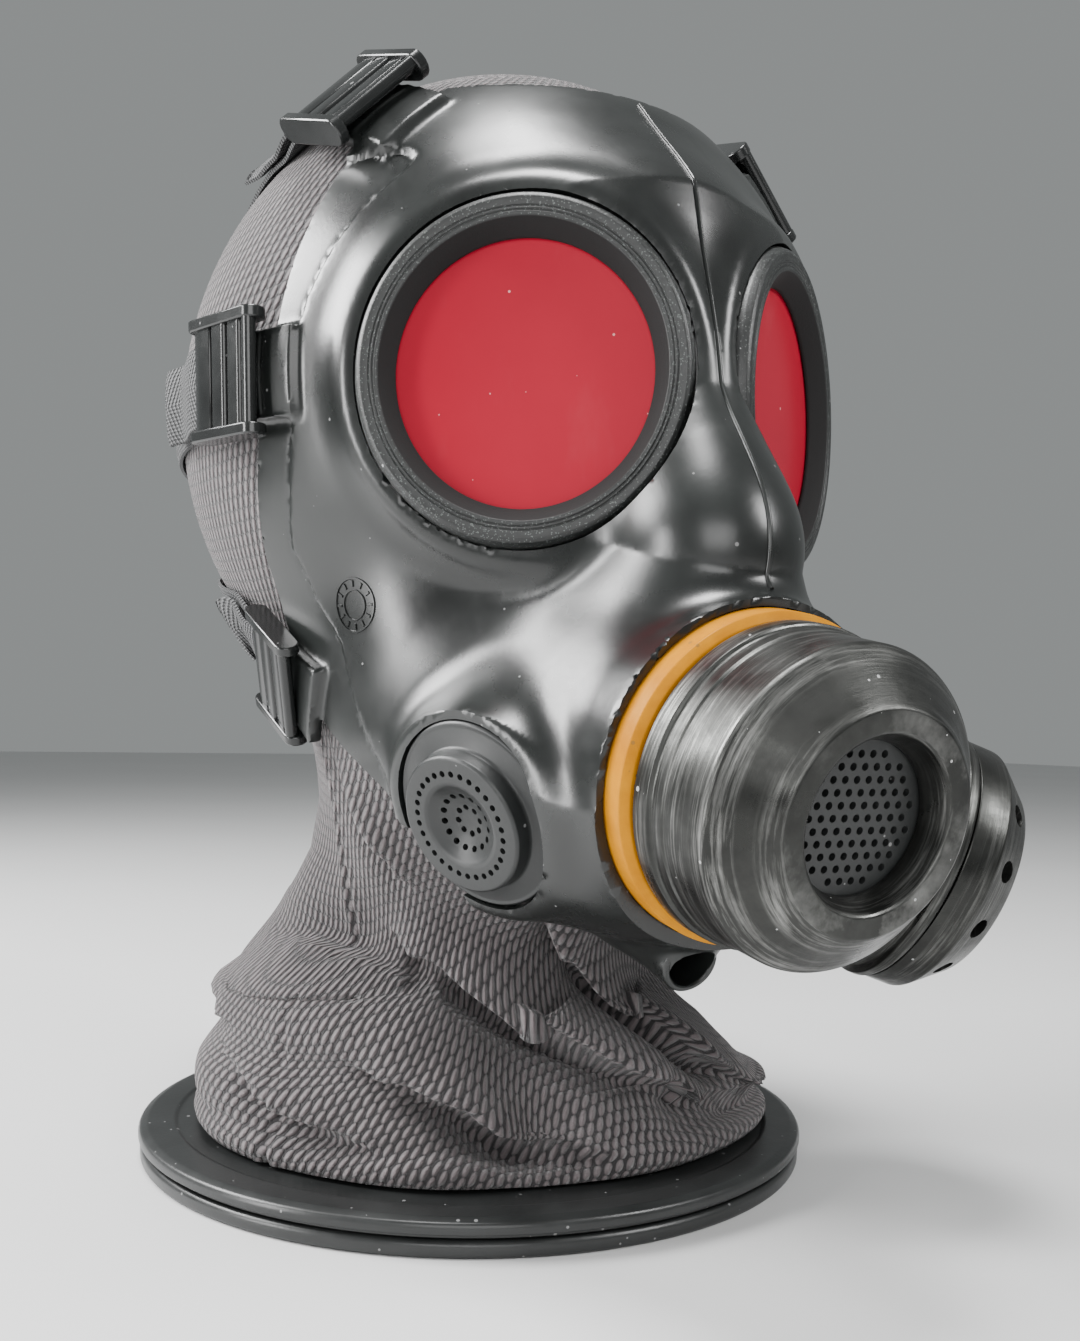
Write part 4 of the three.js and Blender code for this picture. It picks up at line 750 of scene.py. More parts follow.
def net_faces(inside, index, axis):
    low = np.moveaxis(inside, axis, 0)
    change = np.argwhere(low[:-1] != low[1:])
    change = change[(change[:, 1] > 0) & (change[:, 2] > 0)]
    order = [axis] + [a for a in range(3) if a != axis]
    index = np.transpose(index, order)
    change = change[(change[:, 1] < index.shape[1]) & (change[:, 2] < index.shape[2])]
    turned_inside = low[tuple(change.T)]
    first, across, up = change.T
    quad = np.stack([index[first, across - i, up - j] for i, j in ((0, 0), (1, 0), (1, 1), (0, 1))], -1)
    flip = turned_inside if axis == 1 else ~turned_inside
    quad[flip] = quad[flip][:, ::-1]
    return quad[(quad >= 0).all(1)]


NET_STEP = 1.07


def grid_values(gap, low, high, step):
    """Values on a grid that is the same left and right, so that only one side is worked out."""
    xs = (np.arange(int(high[0] / step) + 1) + 0.5) * step
    ys = np.arange(low[1], high[1], step)
    zs = np.arange(low[2], high[2], step)
    half = np.empty((len(xs), len(ys), len(zs)), np.float32)
    for i, x in enumerate(xs):
        place = np.stack(np.meshgrid([x], ys, zs, indexing="ij"), -1)[0]
        half[i] = gap(place)
    return np.concatenate([half[::-1], half]), np.array([-xs[-1], ys[0], zs[0]])


def facepiece():
    low, high = (0, -136, 56), (90, -8, 282)
    values, origin = grid_values(facepiece_gap, low, high, NET_STEP)
    points, faces = surface_net(facepiece_gap, values, origin, NET_STEP)
    return mesh_object("rubber_facepiece", points, faces, RUBBER, 45)


settle(facepiece(), "black_rubber", "facepiece")


# %% [markdown]
# A moulded dial sits on the cheek below the near eye: two rings and twelve plain ticks. It is a
# round patch whose points are dropped onto the rubber, so that it follows the curve, and whose
# marks stand a third of a millimetre proud.

# %% Moulded dial
DIAL_PLACE, DIAL_RADIUS, DIAL_RELIEF, DIAL_TICKS, DIAL_SIDES = (-57.8, -52.9, 147.6), 6.6, 0.35, 12, 144
# Radii of the inner ring and of the ticks' middle, and half the length of a tick and width of a line
INNER_RING, TICK_MIDDLE, TICK_HALF, LINE_HALF = 3.3, 4.8, 0.75, 0.3


def dial():
    centre = settle_on(facepiece_gap, np.array([DIAL_PLACE], float), 8, 3.0)[0]
    normal = slope(rubber_gap, centre[None])[0]
    across = unit(np.cross(normal, (0, 0, 1.0)))
    up = np.cross(across, normal)
    turns = np.linspace(0, 2 * math.pi, DIAL_SIDES, endpoint=False)
    radii = np.linspace(0.4, DIAL_RADIUS, 34)
    turn, radius = np.meshgrid(turns, radii)
    flat = centre + (np.cos(turn) * radius)[..., None] * across + (np.sin(turn) * radius)[..., None] * up
    ground = settle_on(facepiece_gap, flat.reshape(-1, 3), 4, 1.0)
    ring = (np.abs(radius - DIAL_RADIUS + 0.5) < LINE_HALF) | (np.abs(radius - INNER_RING) < 0.25)
    share = turn / (2 * math.pi) * DIAL_TICKS
    beside = np.abs(share - np.round(share)) * 2 * math.pi * radius / DIAL_TICKS
    tick = (beside < LINE_HALF) & (np.abs(radius - TICK_MIDDLE) < TICK_HALF)
    height = np.where(ring | tick, DIAL_RELIEF, -0.3).ravel()
    top = ground + normal * height[:, None]
    base = ground[-DIAL_SIDES:] - normal * 0.8
    points = np.vstack([top, base, centre - normal * 0.3, centre - normal * 0.8])
    rows, count = len(radii), len(turns)
    faces = []
    for j in range(count):
        k = (j + 1) % count
        faces += [[i * count + j, i * count + k, (i + 1) * count + k, (i + 1) * count + j]
                  for i in range(rows)]
        faces += [[rows * count + j, rows * count + k, len(points) - 1], [k, j, len(points) - 2]]
    return outward(mesh_object("moulded_dial", points, faces, RUBBER, 30), merge=False)


settle(dial(), "black_rubber")


# %% [markdown]
# Straps, tabs and seams lie on the hood. Each follows a few places round the head: they are
# joined by a smooth curve, dropped onto the hood and lifted by a chosen height, so a band hugs
# the head along its length and across its width.

# %% Bands that hug the head
def smooth_route(places, each):
    """Catmull-Rom curve through places."""
    p = np.array(places, float)
    p = np.vstack([2 * p[0] - p[1], p, 2 * p[-1] - p[-2]])
    route = []
    for i in range(1, len(p) - 2):
        for t in np.linspace(0, 1, each, endpoint=False):
            a, b, c, d = p[i - 1:i + 3]
            route.append(0.5 * (2 * b + (c - a) * t + (2 * a - 5 * b + 4 * c - d) * t * t
                                + (3 * b - a - 3 * c + d) * t ** 3))
    route.append(p[-2])
    return np.array(route)


def evenly(points, count):
    lengths = np.r_[0, np.cumsum(np.linalg.norm(np.diff(points, axis=0), axis=1))]
    at = np.linspace(0, lengths[-1], count)
    return np.stack([np.interp(at, lengths, points[:, i]) for i in range(3)], -1), at


def band(name, places, width, thickness, lift_at, material, count=160, across=9):
    """A flat band along places on the hood. Its UV map runs in millimetres along and across."""
    line, at = evenly(on_hood(smooth_route(places, 24)), count)
    normal = slope(hood_gap, line)
    ahead = unit(np.gradient(line, axis=0))
    side = unit(np.cross(ahead, normal))
    lift = np.array([lift_at(d, at[-1]) for d in at])
    shares = np.linspace(-0.5, 0.5, across)
    lower, upper = [], []
    for share in shares:
        flat = line + side * share * width
        base = flat - slope(hood_gap, flat) * hood_gap(flat)[:, None]
        edge = thickness * 0.22 if abs(share) > 0.49 else 0
        lower.append(base + normal * (lift + edge)[:, None])
        upper.append(base + normal * (lift + thickness - edge)[:, None])
    ring = lower + upper[::-1]
    points = np.stack(ring, 1).reshape(-1, 3)
    size = len(ring)
    faces = [[i * size + k, (i + 1) * size + k, (i + 1) * size + (k + 1) % size, i * size + (k + 1) % size]
             for i in range(count - 1) for k in range(size)]
    faces += [list(range(size)), [(count - 1) * size + k for k in range(size)][::-1]]
    piece = mesh_object(name, points, faces, material, 60)
    u = np.tile(np.r_[shares, shares[::-1]] * width, count)
    v = np.repeat(at, size)
    uv = piece.data.uv_layers.new(name="band")
    corners = np.empty(len(piece.data.loops), int)
    piece.data.loops.foreach_get("vertex_index", corners)
    uv.data.foreach_set("uv", np.stack([u[corners], v[corners]], -1).ravel())
    return outward(piece, merge=False)


# %% [markdown]
# The two halves of the mould leave a fine seam down the middle, from the crown over the brow and
# nose to the port. It is a thin bead that catches the light, pushed along the surface.

# %% Mould seam
SEAM_WIDTH, SEAM_HEIGHT, SEAM_ROOT, SEAM_LOW, SEAM_TOP = 1.1, 0.6, 0.5, 149, 259


def mould_seam():
    tilts = np.linspace(math.radians(-20), math.radians(88), 400)
    aim = np.stack([np.zeros(400), -np.cos(tilts), np.sin(tilts)], -1)
    line = cast_out(lambda p: rubber_gap(p) + flange_relief(p), (0, -30, 160), aim)
    line, _ = evenly(line[(line[:, 2] > SEAM_LOW) & (line[:, 2] < SEAM_TOP)], 260)
    out = slope(rubber_gap, line)
    section = [(math.cos(t) * SEAM_WIDTH / 2, math.sin(t) * SEAM_HEIGHT) for t in np.linspace(0, math.pi, 7)]
    section += [(-SEAM_WIDTH / 2, -SEAM_ROOT), (SEAM_WIDTH / 2, -SEAM_ROOT)]
    points = np.concatenate([line + out * up + np.array([x, 0, 0]) for x, up in section])
    points = points.reshape(len(section), len(line), 3).transpose(1, 0, 2).reshape(-1, 3)
    size, last = len(section), (len(line) - 1) * len(section)
    faces = [[i + k, i + size + k, i + size + (k + 1) % size, i + (k + 1) % size]
             for i in range(0, last, size) for k in range(size)]
    faces += [list(range(size)), [last + k for k in range(size)][::-1]]
    return outward(mesh_object("mould_seam", points, faces, RUBBER, 60), merge=False)


settle(mould_seam(), "black_rubber")


# %% [markdown]
# Webbing is woven: fine yarns run along it and ribs slant to both sides of the middle. The band's
# UV map is in millimetres, so two sine waves on it give the weave at its real size. The free end
# of each strap is folded back over its buckle and stands off a little.

# %% Webbing
RIB_PITCH, YARN_PITCH, RIB_SLANT = 1.5, 0.9, 0.55


def webbing_material():
    material, g, shader, _ = finish("Woven webbing", 0.78)
    uv = g.node("ShaderNodeUVMap", uv_map="band").outputs[0]
    parts = g.node("ShaderNodeSeparateXYZ", {"Vector": uv}).outputs
    slant = g.math("ADD", parts[1], g.math("MULTIPLY", g.math("ABSOLUTE", parts[0]), RIB_SLANT))
    ribs = g.math("SINE", g.math("MULTIPLY", slant, 2 * math.pi / RIB_PITCH))
    yarns = g.math("SINE", g.math("MULTIPLY", parts[0], 2 * math.pi / YARN_PITCH))
    height = g.math("ADD", g.math("MULTIPLY", ribs, 0.7), g.math("MULTIPLY", yarns, 0.3))
    # Painted light and shade: the colour follows the weave's height, lighter on the rib tops and darker in the
    # grooves between them.
    shade = g.span(height, -1, 1)
    base = g.mix(shade, grey(0.01, (1, 1, 1.02)), grey(0.15, (1, 1.01, 1.03)))
    feed(g, shader, base, None, g.bump(height, 1.0, 0.0006))
    return material


WEBBING = webbing_material()
WEB_TOP_LIFT, WEB_LOW_LIFT = TAB_LIFT + TAB_THICKNESS - STRAP_THICKNESS, 0.5
BUCKLE_WIDTH, BUCKLE_LENGTH, BUCKLE_HEIGHT, BUCKLE_CHEEK, BUCKLE_STAND = 27, 27, 6, 2.5, 0.5


def mirrored(places, side):
    return [place * (-side, 1, 1) for place in places]


def eased(value, low, high):
    t = min(max((value - low) / (high - low), 0), 1)
    return t * t * (3 - 2 * t)


def web_lift(distance):
    share = eased(distance, BUCKLE_LENGTH * 0.5, BUCKLE_LENGTH * 1.2)
    return WEB_TOP_LIFT + (WEB_LOW_LIFT - WEB_TOP_LIFT) * share


def loop_strap(name):
    right = ROUTES[name][1:]
    places = right + mirrored(right[:-1][::-1], LEFT)
    return band(f"{name}_strap_webbing", places, STRAP_WIDTH, STRAP_THICKNESS,
                lambda d, span: web_lift(min(d, span - d)), WEBBING, 320)


def top_strap(label, side):
    on_temple = WEB_LOW_LIFT + STRAP_THICKNESS + 0.8

    def lift(d, span):
        joined = eased(d, span - STRAP_WIDTH * 2, span - STRAP_WIDTH)
        return max(web_lift(d), on_temple * joined)

    return band(f"top_strap_webbing_{label}", mirrored(ROUTES["top"][1:], side), STRAP_WIDTH,
                STRAP_THICKNESS, lift, WEBBING, 180)


def strap_tail(name, label, side):
    """The strap's free end, folded back over the buckle's rear bar and lying on the strap."""
    middle, behind, further = mirrored(ROUTES[name][1:4], side)
    start = middle + (behind - middle) * TAIL_STARTS[name]
    places = [start, (start + behind) / 2, behind, behind + (further - behind) * TAIL_REACH[name]]

    def lift(d, span):
        doubled = web_lift(d + BUCKLE_LENGTH * 0.3) + STRAP_THICKNESS + 0.25
        return doubled + 2.2 * eased(d, span * 0.75, span)

    return band(f"{name}_strap_tail_{label}", places, STRAP_WIDTH - 0.6, STRAP_THICKNESS, lift, WEBBING, 60)


TAIL_STARTS = {"temple": 0.3, "cheek": 0.3, "top": 0.22}
TAIL_REACH = {"temple": 0.08, "cheek": 0.1, "top": 0.05}
for strap_name in ("temple", "cheek"):
    settle(loop_strap(strap_name), "strap_webbing", f"{strap_name}_strap")
for label, side in SIDES.items():
    settle(top_strap(label, side), "strap_webbing", f"top_strap_{label}")
    for strap_name in ROUTES:
        settle(strap_tail(strap_name, label, side), "strap_webbing")


# %% [markdown]
# A buckle is a small frame: two side cheeks with rounded ends, a curved plate behind, two flat
# bars that grip the webbing, and a round bar in front where the rubber tab is held. Each is a
# section pushed straight across the strap, and a bevel rounds its edges.

# %% Buckles
def extruded(section, low, high):
    """Points and faces of a closed section (along, off the head) pushed across from low to high."""
    count = len(section)
    points = [(x, y, z) for x in (low, high) for y, z in section]
    faces = [[k, (k + 1) % count, count + (k + 1) % count, count + k] for k in range(count)]
    faces += [list(range(count))[::-1], list(range(count, 2 * count))]
    return points, faces


def pill(length, height, centre, steps=8):
    """Section with round ends, in the plane of along and off the head."""
    radius = height / 2
    half = length / 2 - radius
    turns = np.linspace(-math.pi / 2, math.pi / 2, steps)
    right = [(half + radius * math.cos(t), radius * math.sin(t)) for t in turns]
    left = [(-half - radius * math.cos(t), -radius * math.sin(t)) for t in turns]
    return [(centre[0] + y, centre[1] + z) for y, z in right + left]


def curved_plate(start, end, low, rise, thickness, steps=7):
    """Section of a plate that arches from start to end."""
    ys = np.linspace(start, end, steps)
    arch = low + rise * np.sin(np.linspace(0.15, math.pi * 0.72, steps))
    return [(y, z) for y, z in zip(ys, arch)] + [(y, z - thickness) for y, z in zip(ys[::-1], arch[::-1])]


# The three bars: length and height of the section, place from the rear end, depth below the top
BUCKLE_BARS = [(5.6, 2.2, 13.2, 1.6), (5.4, 2.2, 19.2, 1.9), (3.4, 3.2, 24.4, 1.9)]
BAR_ROOT = 0.5


def buckle_parts():
    low = LIFT + BUCKLE_STAND
    inner = BUCKLE_WIDTH / 2 - BUCKLE_CHEEK
    middle = low + BUCKLE_HEIGHT / 2
    top = low + BUCKLE_HEIGHT
    cheek = pill(BUCKLE_LENGTH, BUCKLE_HEIGHT, (0, middle))
    half = BUCKLE_LENGTH / 2
    parts = [(cheek, inner, inner + BUCKLE_CHEEK), (cheek, -inner - BUCKLE_CHEEK, -inner)]
    bars = [curved_plate(half - 1.5, half - 9.5, top - 2.2, 1.6, 1.6)]
    bars += [pill(length, height, (half - behind, top - sunk)) for length, height, behind, sunk in BUCKLE_BARS]
    return parts + [(bar, -inner - BAR_ROOT, inner + BAR_ROOT) for bar in bars]


def buckle_place(name, side):
    """Directions of a buckle on the strap and the point that its frame stands on."""
    base, across, along, normal = strap_frame(name, side)
    low, lift = LIFT + BUCKLE_STAND, 0
    for x in (-1, 1):
        for y in (-1, -0.5, 0, 0.5, 1):
            foot = base + normal * low + across * x * BUCKLE_WIDTH / 2 + along * y * BUCKLE_LENGTH / 2
            gap = rubber_gap(foot[None])[0] if foot[1] < rim_depth(foot[2]) else hood_gap(foot[None])[0]
            lift = max(lift, BUCKLE_STAND - gap)
    return base + normal * lift, across, along, normal


def buckle(name, label, side):
    base, across, along, normal = buckle_place(name, side)
    points, faces = [], []
    for section, low, high in buckle_parts():
        more, rings = extruded(section, low, high)
        faces += [[len(points) + i for i in ring] for ring in rings]
        points += more
    local = np.array(points)
    world = base + local[:, :1] * across + local[:, 1:2] * along + local[:, 2:] * normal
    piece = mesh_object(f"{name}_buckle_frame_{label}", world, faces, BUCKLE_PLASTIC, 30)
    outward(piece, merge=False)
    bevel = piece.modifiers.new("edges", "BEVEL")
    bevel.width = 0.35 * MM
    bevel.segments = 2
    bevel.limit_method = "ANGLE"
    bevel.angle_limit = math.radians(40)
    return piece


for label, side in SIDES.items():
    for route_name in ROUTES:
        settle(buckle(route_name, label, side), "buckle_plastic", f"{route_name}_buckle_{label}")


# %% [markdown]
# Turned parts come from a profile: radius against distance along the axis. The eyepiece has a
# grained flat face, a drop inside its mouth that is painted near-black as shade, two thin grooves
# beside the mouth and a lens sunk behind it.

# %% Eyepieces
LENS_THICKNESS, LENS_CROWN = 2.4, 0.35


def eyepiece(label):
    place = EYES[label]
    groove = [(31.4, 0), (31.55, -0.25), (31.75, -0.25), (31.9, 0)]
    groove += [(r + 0.8, s) for r, s in groove]
    profile = [(MOUTH_RADIUS, -0.15), (30.8, 0)] + groove
    profile += [(34.3, 0), (35.1, -0.5), (35.8, -2), (BEZEL_RADIUS, -BEZEL_HEIGHT)]
    profile += [(HUB_RADIUS, -BEZEL_HEIGHT), (HUB_RADIUS, HUB_END), (POCKET_RADIUS, HUB_END),
                (POCKET_RADIUS, LENS_SEAT), (SIGHT_RADIUS, LENS_SEAT), (SIGHT_RADIUS, -3.9)]
    plastic = bezel_material(f"Bezel plastic with painted glints {label}", place)
    ring = turned(f"eyepiece_ring_{label}", profile, place, plastic, 160, 0.25, 40)
    radius, face = POCKET_RADIUS - SEAT_GAP, LENS_SEAT - SEAT_GAP
    lens_rows = [(0, face - LENS_THICKNESS), (radius, face - LENS_THICKNESS), (radius, face)]
    lens_rows += [(radius * r, face + LENS_CROWN * (1 - r * r)) for r in (0.97, 0.9, 0.75, 0.5, 0.25, 0)]
    lens = turned(f"red_lens_{label}", lens_rows, place, RED_LENS, 96, 0.3, 40)
    return ring, lens


for label in SIDES:
    ring, lens = eyepiece(label)
    settle(ring, "bezel_plastic", f"eye_bezel_{label}")
    settle(lens, "red_lens", f"eye_lens_{label}")


# %% [markdown]
# The ring that tightens the port is painted amber and worn at its edges. One turned profile makes
# it: a wall, a chamfer in front, and a step inside for the teeth that come later.

# %% Amber ring
TOOTH_CIRCLE = 31.6


def port_ring():
    high = RING_LOW + RING_LENGTH
    profile = [(PORT_BORE, RING_LOW), (34.0, RING_LOW), (RING_RADIUS, RING_LOW + 0.6),
               (RING_RADIUS, high - 1.5), (32.9, high), (TOOTH_CIRCLE, high), (31.3, high - 0.7),
               (PORT_BORE, high - 0.7)]
    return turned("amber_ring", profile, PORT, AMBER, 160, 0.3)


settle(port_ring(), "yellow_paint", "port_ring")


# %% [markdown]
# The canister's drum has a raised band at its rear, a long worn wall, a cone and a flat black
# face round a bright recess. It is one profile turned round the port's axis, like the real drum
# on its lathe, with 192 sides so that its outline stays round near the camera.

# %% Front canister
CAN_REAR = RING_LOW + SEAT_GAP + RING_LENGTH
CAN_FRONT = CAN_REAR + 32.5
RECESS_FLOOR = CAN_FRONT - 5.3
CAN_BAND, CAN_RADIUS, CAN_FACE, CAN_RECESS = 33.2, 31.9, 21.5, 14.9
CAN_PLUG, CAN_BORE, CAN_INSIDE, PLATE_SEAT = 29.1, 26.5, 29.2, 17.1


def front_canister():
    low, shoulder = CAN_REAR, CAN_FRONT - 10.7
    profile = [(CAN_PLUG, low - 9), (CAN_PLUG, low), (32.0, low), (CAN_BAND, low + 1.2),
               (CAN_BAND, low + 5.8), (32.6, low + 6.1), (32.3, low + 6.7), (32.4, low + 9.6),
               (32.0, low + 10.2), (CAN_RADIUS, shoulder), (31.5, shoulder + 0.8),
               (22.2, CAN_FRONT - 0.5), (CAN_FACE, CAN_FRONT), (17.4, CAN_FRONT), (16.8, CAN_FRONT - 0.5),
               (CAN_RECESS, RECESS_FLOOR), (CAN_RECESS, RECESS_FLOOR - 1), (PLATE_SEAT, RECESS_FLOOR - 1),
               (PLATE_SEAT, shoulder - 2.6), (CAN_INSIDE, shoulder - 2.6), (CAN_INSIDE, low + 2.6),
               (CAN_BORE, low + 2.6), (CAN_BORE, low - 9)]
    return turned("front_canister_drum", profile, PORT, GUNMETAL, 192, 0.3, 30)


settle(front_canister(), "gunmetal", "front_canister")


# %% [markdown]
# The plate in the recess is pierced with holes in staggered rows. Rows of holes are what Geometry
# Nodes is good at: points where the holes go, a cylinder on each point, and one boolean that cuts
# them all. The tree's inputs are named, so the same tree also pierces the ports below.

# %% Pierced plate
def open_tree(tree, sockets):
    """Gives a Geometry Nodes tree its named inputs and its one output."""
    for label, kind in sockets.items():
        tree.interface.new_socket(name=label, in_out="INPUT", socket_type="NodeSocket" + kind)
    tree.interface.new_socket(name="Geometry", in_out="OUTPUT", socket_type="NodeSocketGeometry")
    g = Graph(tree)
    return g, g.node("NodeGroupInput").outputs, g.node("NodeGroupOutput")


def pierce_tree():
    """Cuts a cylinder at each point of a cutter object out of the piece."""
    tree = bpy.data.node_groups.new("Pierced plate", "GeometryNodeTree")
    g, given, out = open_tree(tree, {"Geometry": "Geometry", "Places": "Object", "Hole radius": "Float",
                                     "Hole depth": "Float", "Material": "Material"})
    places = g.node("GeometryNodeObjectInfo", {"Object": given["Places"]}, transform_space="ORIGINAL")
    inputs = {"Vertices": 12, "Radius": given["Hole radius"], "Depth": given["Hole depth"]}
    pin = g.node("GeometryNodeMeshCylinder", inputs).outputs["Mesh"]
    drill = g.node("GeometryNodeInputNamedAttribute", {"Name": "drill"}, data_type="FLOAT_VECTOR").outputs[0]
    turn = g.node("FunctionNodeAlignRotationToVector", {"Vector": drill}, axis="Z").outputs[0]
    inputs = {"Points": places.outputs["Geometry"], "Instance": pin, "Rotation": turn}
    pins = g.node("GeometryNodeInstanceOnPoints", inputs).outputs[0]
    real = g.node("GeometryNodeRealizeInstances", {"Geometry": pins}).outputs[0]
    cut = g.node("GeometryNodeMeshBoolean", operation="DIFFERENCE", solver="EXACT")
    g.tree.links.new(given["Geometry"], cut.inputs["Mesh 1"])
    g.tree.links.new(real, cut.inputs["Mesh 2"])
    made = g.node("GeometryNodeRealizeInstances", {"Geometry": cut.outputs["Mesh"]}).outputs[0]
    inputs = {"Geometry": made, "Material": given["Material"]}
    finished = g.node("GeometryNodeSetMaterial", inputs).outputs[0]
    g.tree.links.new(finished, out.inputs["Geometry"])
    return tree


PIERCE = pierce_tree()


def grown_by(piece, tree, values):
    """Runs a Geometry Nodes tree on a piece once and keeps the mesh that comes out."""
    modifier = piece.modifiers.new("nodes", "NODES")
    modifier.node_group = tree
    for item in tree.interface.items_tree:
        if item.in_out == "INPUT" and item.name in values:
            modifier[item.identifier] = values[item.name]
    bpy.context.view_layer.update()
    evaluated = piece.evaluated_get(bpy.context.evaluated_depsgraph_get())
    mesh = bpy.data.meshes.new_from_object(evaluated)
    piece.modifiers.clear()
    piece.data = mesh
    mesh.shade_smooth()
    mesh.set_sharp_from_angle(angle=math.radians(35))
    return piece


def pierced(piece, places, drills, radius, depth):
    """Cuts round holes into a piece at places, each along its own drill direction."""
    points = bpy.data.meshes.new("hole places")
    points.from_pydata((np.asarray(places) * MM).tolist(), [], [])
    drill = points.attributes.new("drill", "FLOAT_VECTOR", "POINT")
    drill.data.foreach_set("vector", np.asarray(drills, float).ravel())
    cutter = bpy.data.objects.new("hole places", points)
    bpy.context.scene.collection.objects.link(cutter)
    grown_by(piece, PIERCE, {"Places": cutter, "Hole radius": radius * MM, "Hole depth": depth * MM,
                             "Material": piece.data.materials[0]})
    bpy.data.objects.remove(cutter)
    return piece


def on_ring(place, radius, along, count, shift=0.0):
    centre, across, up, axis = place
    turns = (np.arange(count) + shift) / count * 2 * math.pi
    out = np.cos(turns)[:, None] * across + np.sin(turns)[:, None] * up
    return centre + axis * along + out * radius, out


GRILLE_PITCH, GRILLE_HOLE, GRILLE_REACH, GRILLE_THICKNESS = 2.8, 0.78, 13.9, 1.6


def grille():
    high = RECESS_FLOOR - 1 - SEAT_GAP
    low = high - GRILLE_THICKNESS
    profile = [(0, low), (16.8, low), (16.8, high), (0, high)]
    plate = turned("front_grille_plate", profile, PORT, BLACK_PLASTIC, 96, 0.2)
    centre, across, up, axis = PORT
    row_step = GRILLE_PITCH * math.sin(math.pi / 3)
    places = []
    for row in range(-6, 7):
        for step in range(-7, 8):
            x, y = (step + 0.5 * (row % 2)) * GRILLE_PITCH, row * row_step
            if math.hypot(x, y) < GRILLE_REACH:
                places.append(centre + axis * (high - GRILLE_THICKNESS / 2) + across * x + up * y)
    print("grille holes:", len(places))
    return pierced(plate, places, [axis] * len(places), GRILLE_HOLE, 6)


settle(grille(), "black_plastic", "front_grille")


# %% [markdown]
# Between the amber ring and the drum runs a row of fine teeth that locks them. A second tree puts
# one small block on each point of a circle, turns it to face outwards and moves the whole row to
# the fitting.

# %% Lock teeth
def teeth_tree():
    tree = bpy.data.node_groups.new("Row of teeth", "GeometryNodeTree")
    g, given, out = open_tree(tree, {"Geometry": "Geometry", "Count": "Int", "Radius": "Float",
                                     "Tooth": "Vector", "Place": "Vector", "Turn": "Rotation",
                                     "Material": "Material"})
    inputs = {"Vertices": given["Count"], "Radius": given["Radius"]}
    circle = g.node("GeometryNodeMeshCircle", inputs).outputs[0]
    tooth = g.node("GeometryNodeMeshCube", {"Size": given["Tooth"]}).outputs["Mesh"]
    outward_from = g.node("GeometryNodeInputPosition").outputs[0]
    facing = g.node("FunctionNodeAlignRotationToVector", {"Vector": outward_from}, axis="X").outputs[0]
    inputs = {"Points": circle, "Instance": tooth, "Rotation": facing}
    row = g.node("GeometryNodeInstanceOnPoints", inputs).outputs[0]
    inputs = {"Geometry": row, "Translation": given["Place"], "Rotation": given["Turn"]}
    moved = g.node("GeometryNodeTransform", inputs).outputs[0]
    real = g.node("GeometryNodeRealizeInstances", {"Geometry": moved}).outputs[0]
    done = g.node("GeometryNodeSetMaterial", {"Geometry": real, "Material": given["Material"]}).outputs[0]
    g.tree.links.new(done, out.inputs["Geometry"])
    return tree


TOOTH_COUNT, TOOTH_SIZE = 84, (1.3, 1.1, 1.5)


def lock_teeth():
    centre, across, up, axis = PORT
    turn = Matrix((across, up, axis)).transposed().to_euler()
    piece = mesh_object("lock_teeth", [(0, 0, 0)], [], BLACK_PLASTIC)
    place = (centre + axis * (RING_LOW + RING_LENGTH + 0.1)) * MM
    tooth = tuple(size * MM for size in TOOTH_SIZE)
    values = {"Count": TOOTH_COUNT, "Radius": TOOTH_CIRCLE * MM, "Tooth": tooth, "Place": tuple(place),
              "Turn": tuple(turn), "Material": BLACK_PLASTIC}
    return grown_by(piece, teeth_tree(), values)


settle(lock_teeth(), "black_plastic")


# %% [markdown]
# The voice port is a dish with a ring for lettering, left plain here, a raised disc with a ring
# of small holes, and a polished bowl with two more rings of holes that follow its slope.

# %% Voice port
VOICE_BOWL, VOICE_DEPTH, VOICE_FACE, VOICE_HOLE = 9.4, 3.6, 6.3, 0.72
# Rings of holes: radius, how many, and how far each hole leans to the middle
VOICE_RINGS = ((11.9, 30, 0.0), (6.4, 15, 0.35), (3.2, 8, 0.2))


def bowl_height(r):
    share = min(r / VOICE_BOWL, 1)
    return VOICE_FACE - VOICE_DEPTH * (1 - share ** 2.2)


def voice_port():
    place = CHEEKS["right"]
    wall, hub = 1.5, CHEEK_SEAT - CHEEK_HUB
    bowl = [(VOICE_BOWL * t, bowl_height(VOICE_BOWL * t)) for t in (0, 0.2, 0.4, 0.6, 0.75, 0.88, 0.96)]
    back = [(r, s - wall) for r, s in bowl[::-1]]
    disc = [(VOICE_BOWL + 0.5, VOICE_FACE), (15.2, VOICE_FACE), (15.75, VOICE_FACE - 0.6), (15.9, 2.6)]
    dish = [(16.3, 1.9), (20.2, 0.8), (21.0, 0.9), (CHEEK_RIM, 0.3), (CHEEK_RIM, CHEEK_SEAT)]
    neck = [(CHEEK_BORE, CHEEK_SEAT), (CHEEK_BORE, hub), (14.2, hub), (14.2, VOICE_FACE - wall),
            (VOICE_BOWL + 0.9, VOICE_FACE - wall)]
    profile = bowl + disc + dish + neck + back
    piece = turned("voice_port_dish", profile, place, BLACK_PLASTIC, 128, 0.3)
    axis = place[3]
    places, drills = [], []
    for radius, count, tilt in VOICE_RINGS:
        spots, out = on_ring(place, radius, bowl_height(radius) - 0.7, count)
        places += list(spots)
        drills += list(unit(axis - out * tilt))
    return pierced(piece, places, drills, VOICE_HOLE, 3.6)


settle(voice_port(), "black_plastic", "voice_port")


# %% [markdown]
# The far cheek carries a second canister. Its drum stands on a neck in the same seat as the voice
# port, and the lid in front has a ring of vents drilled square to its chamfer.

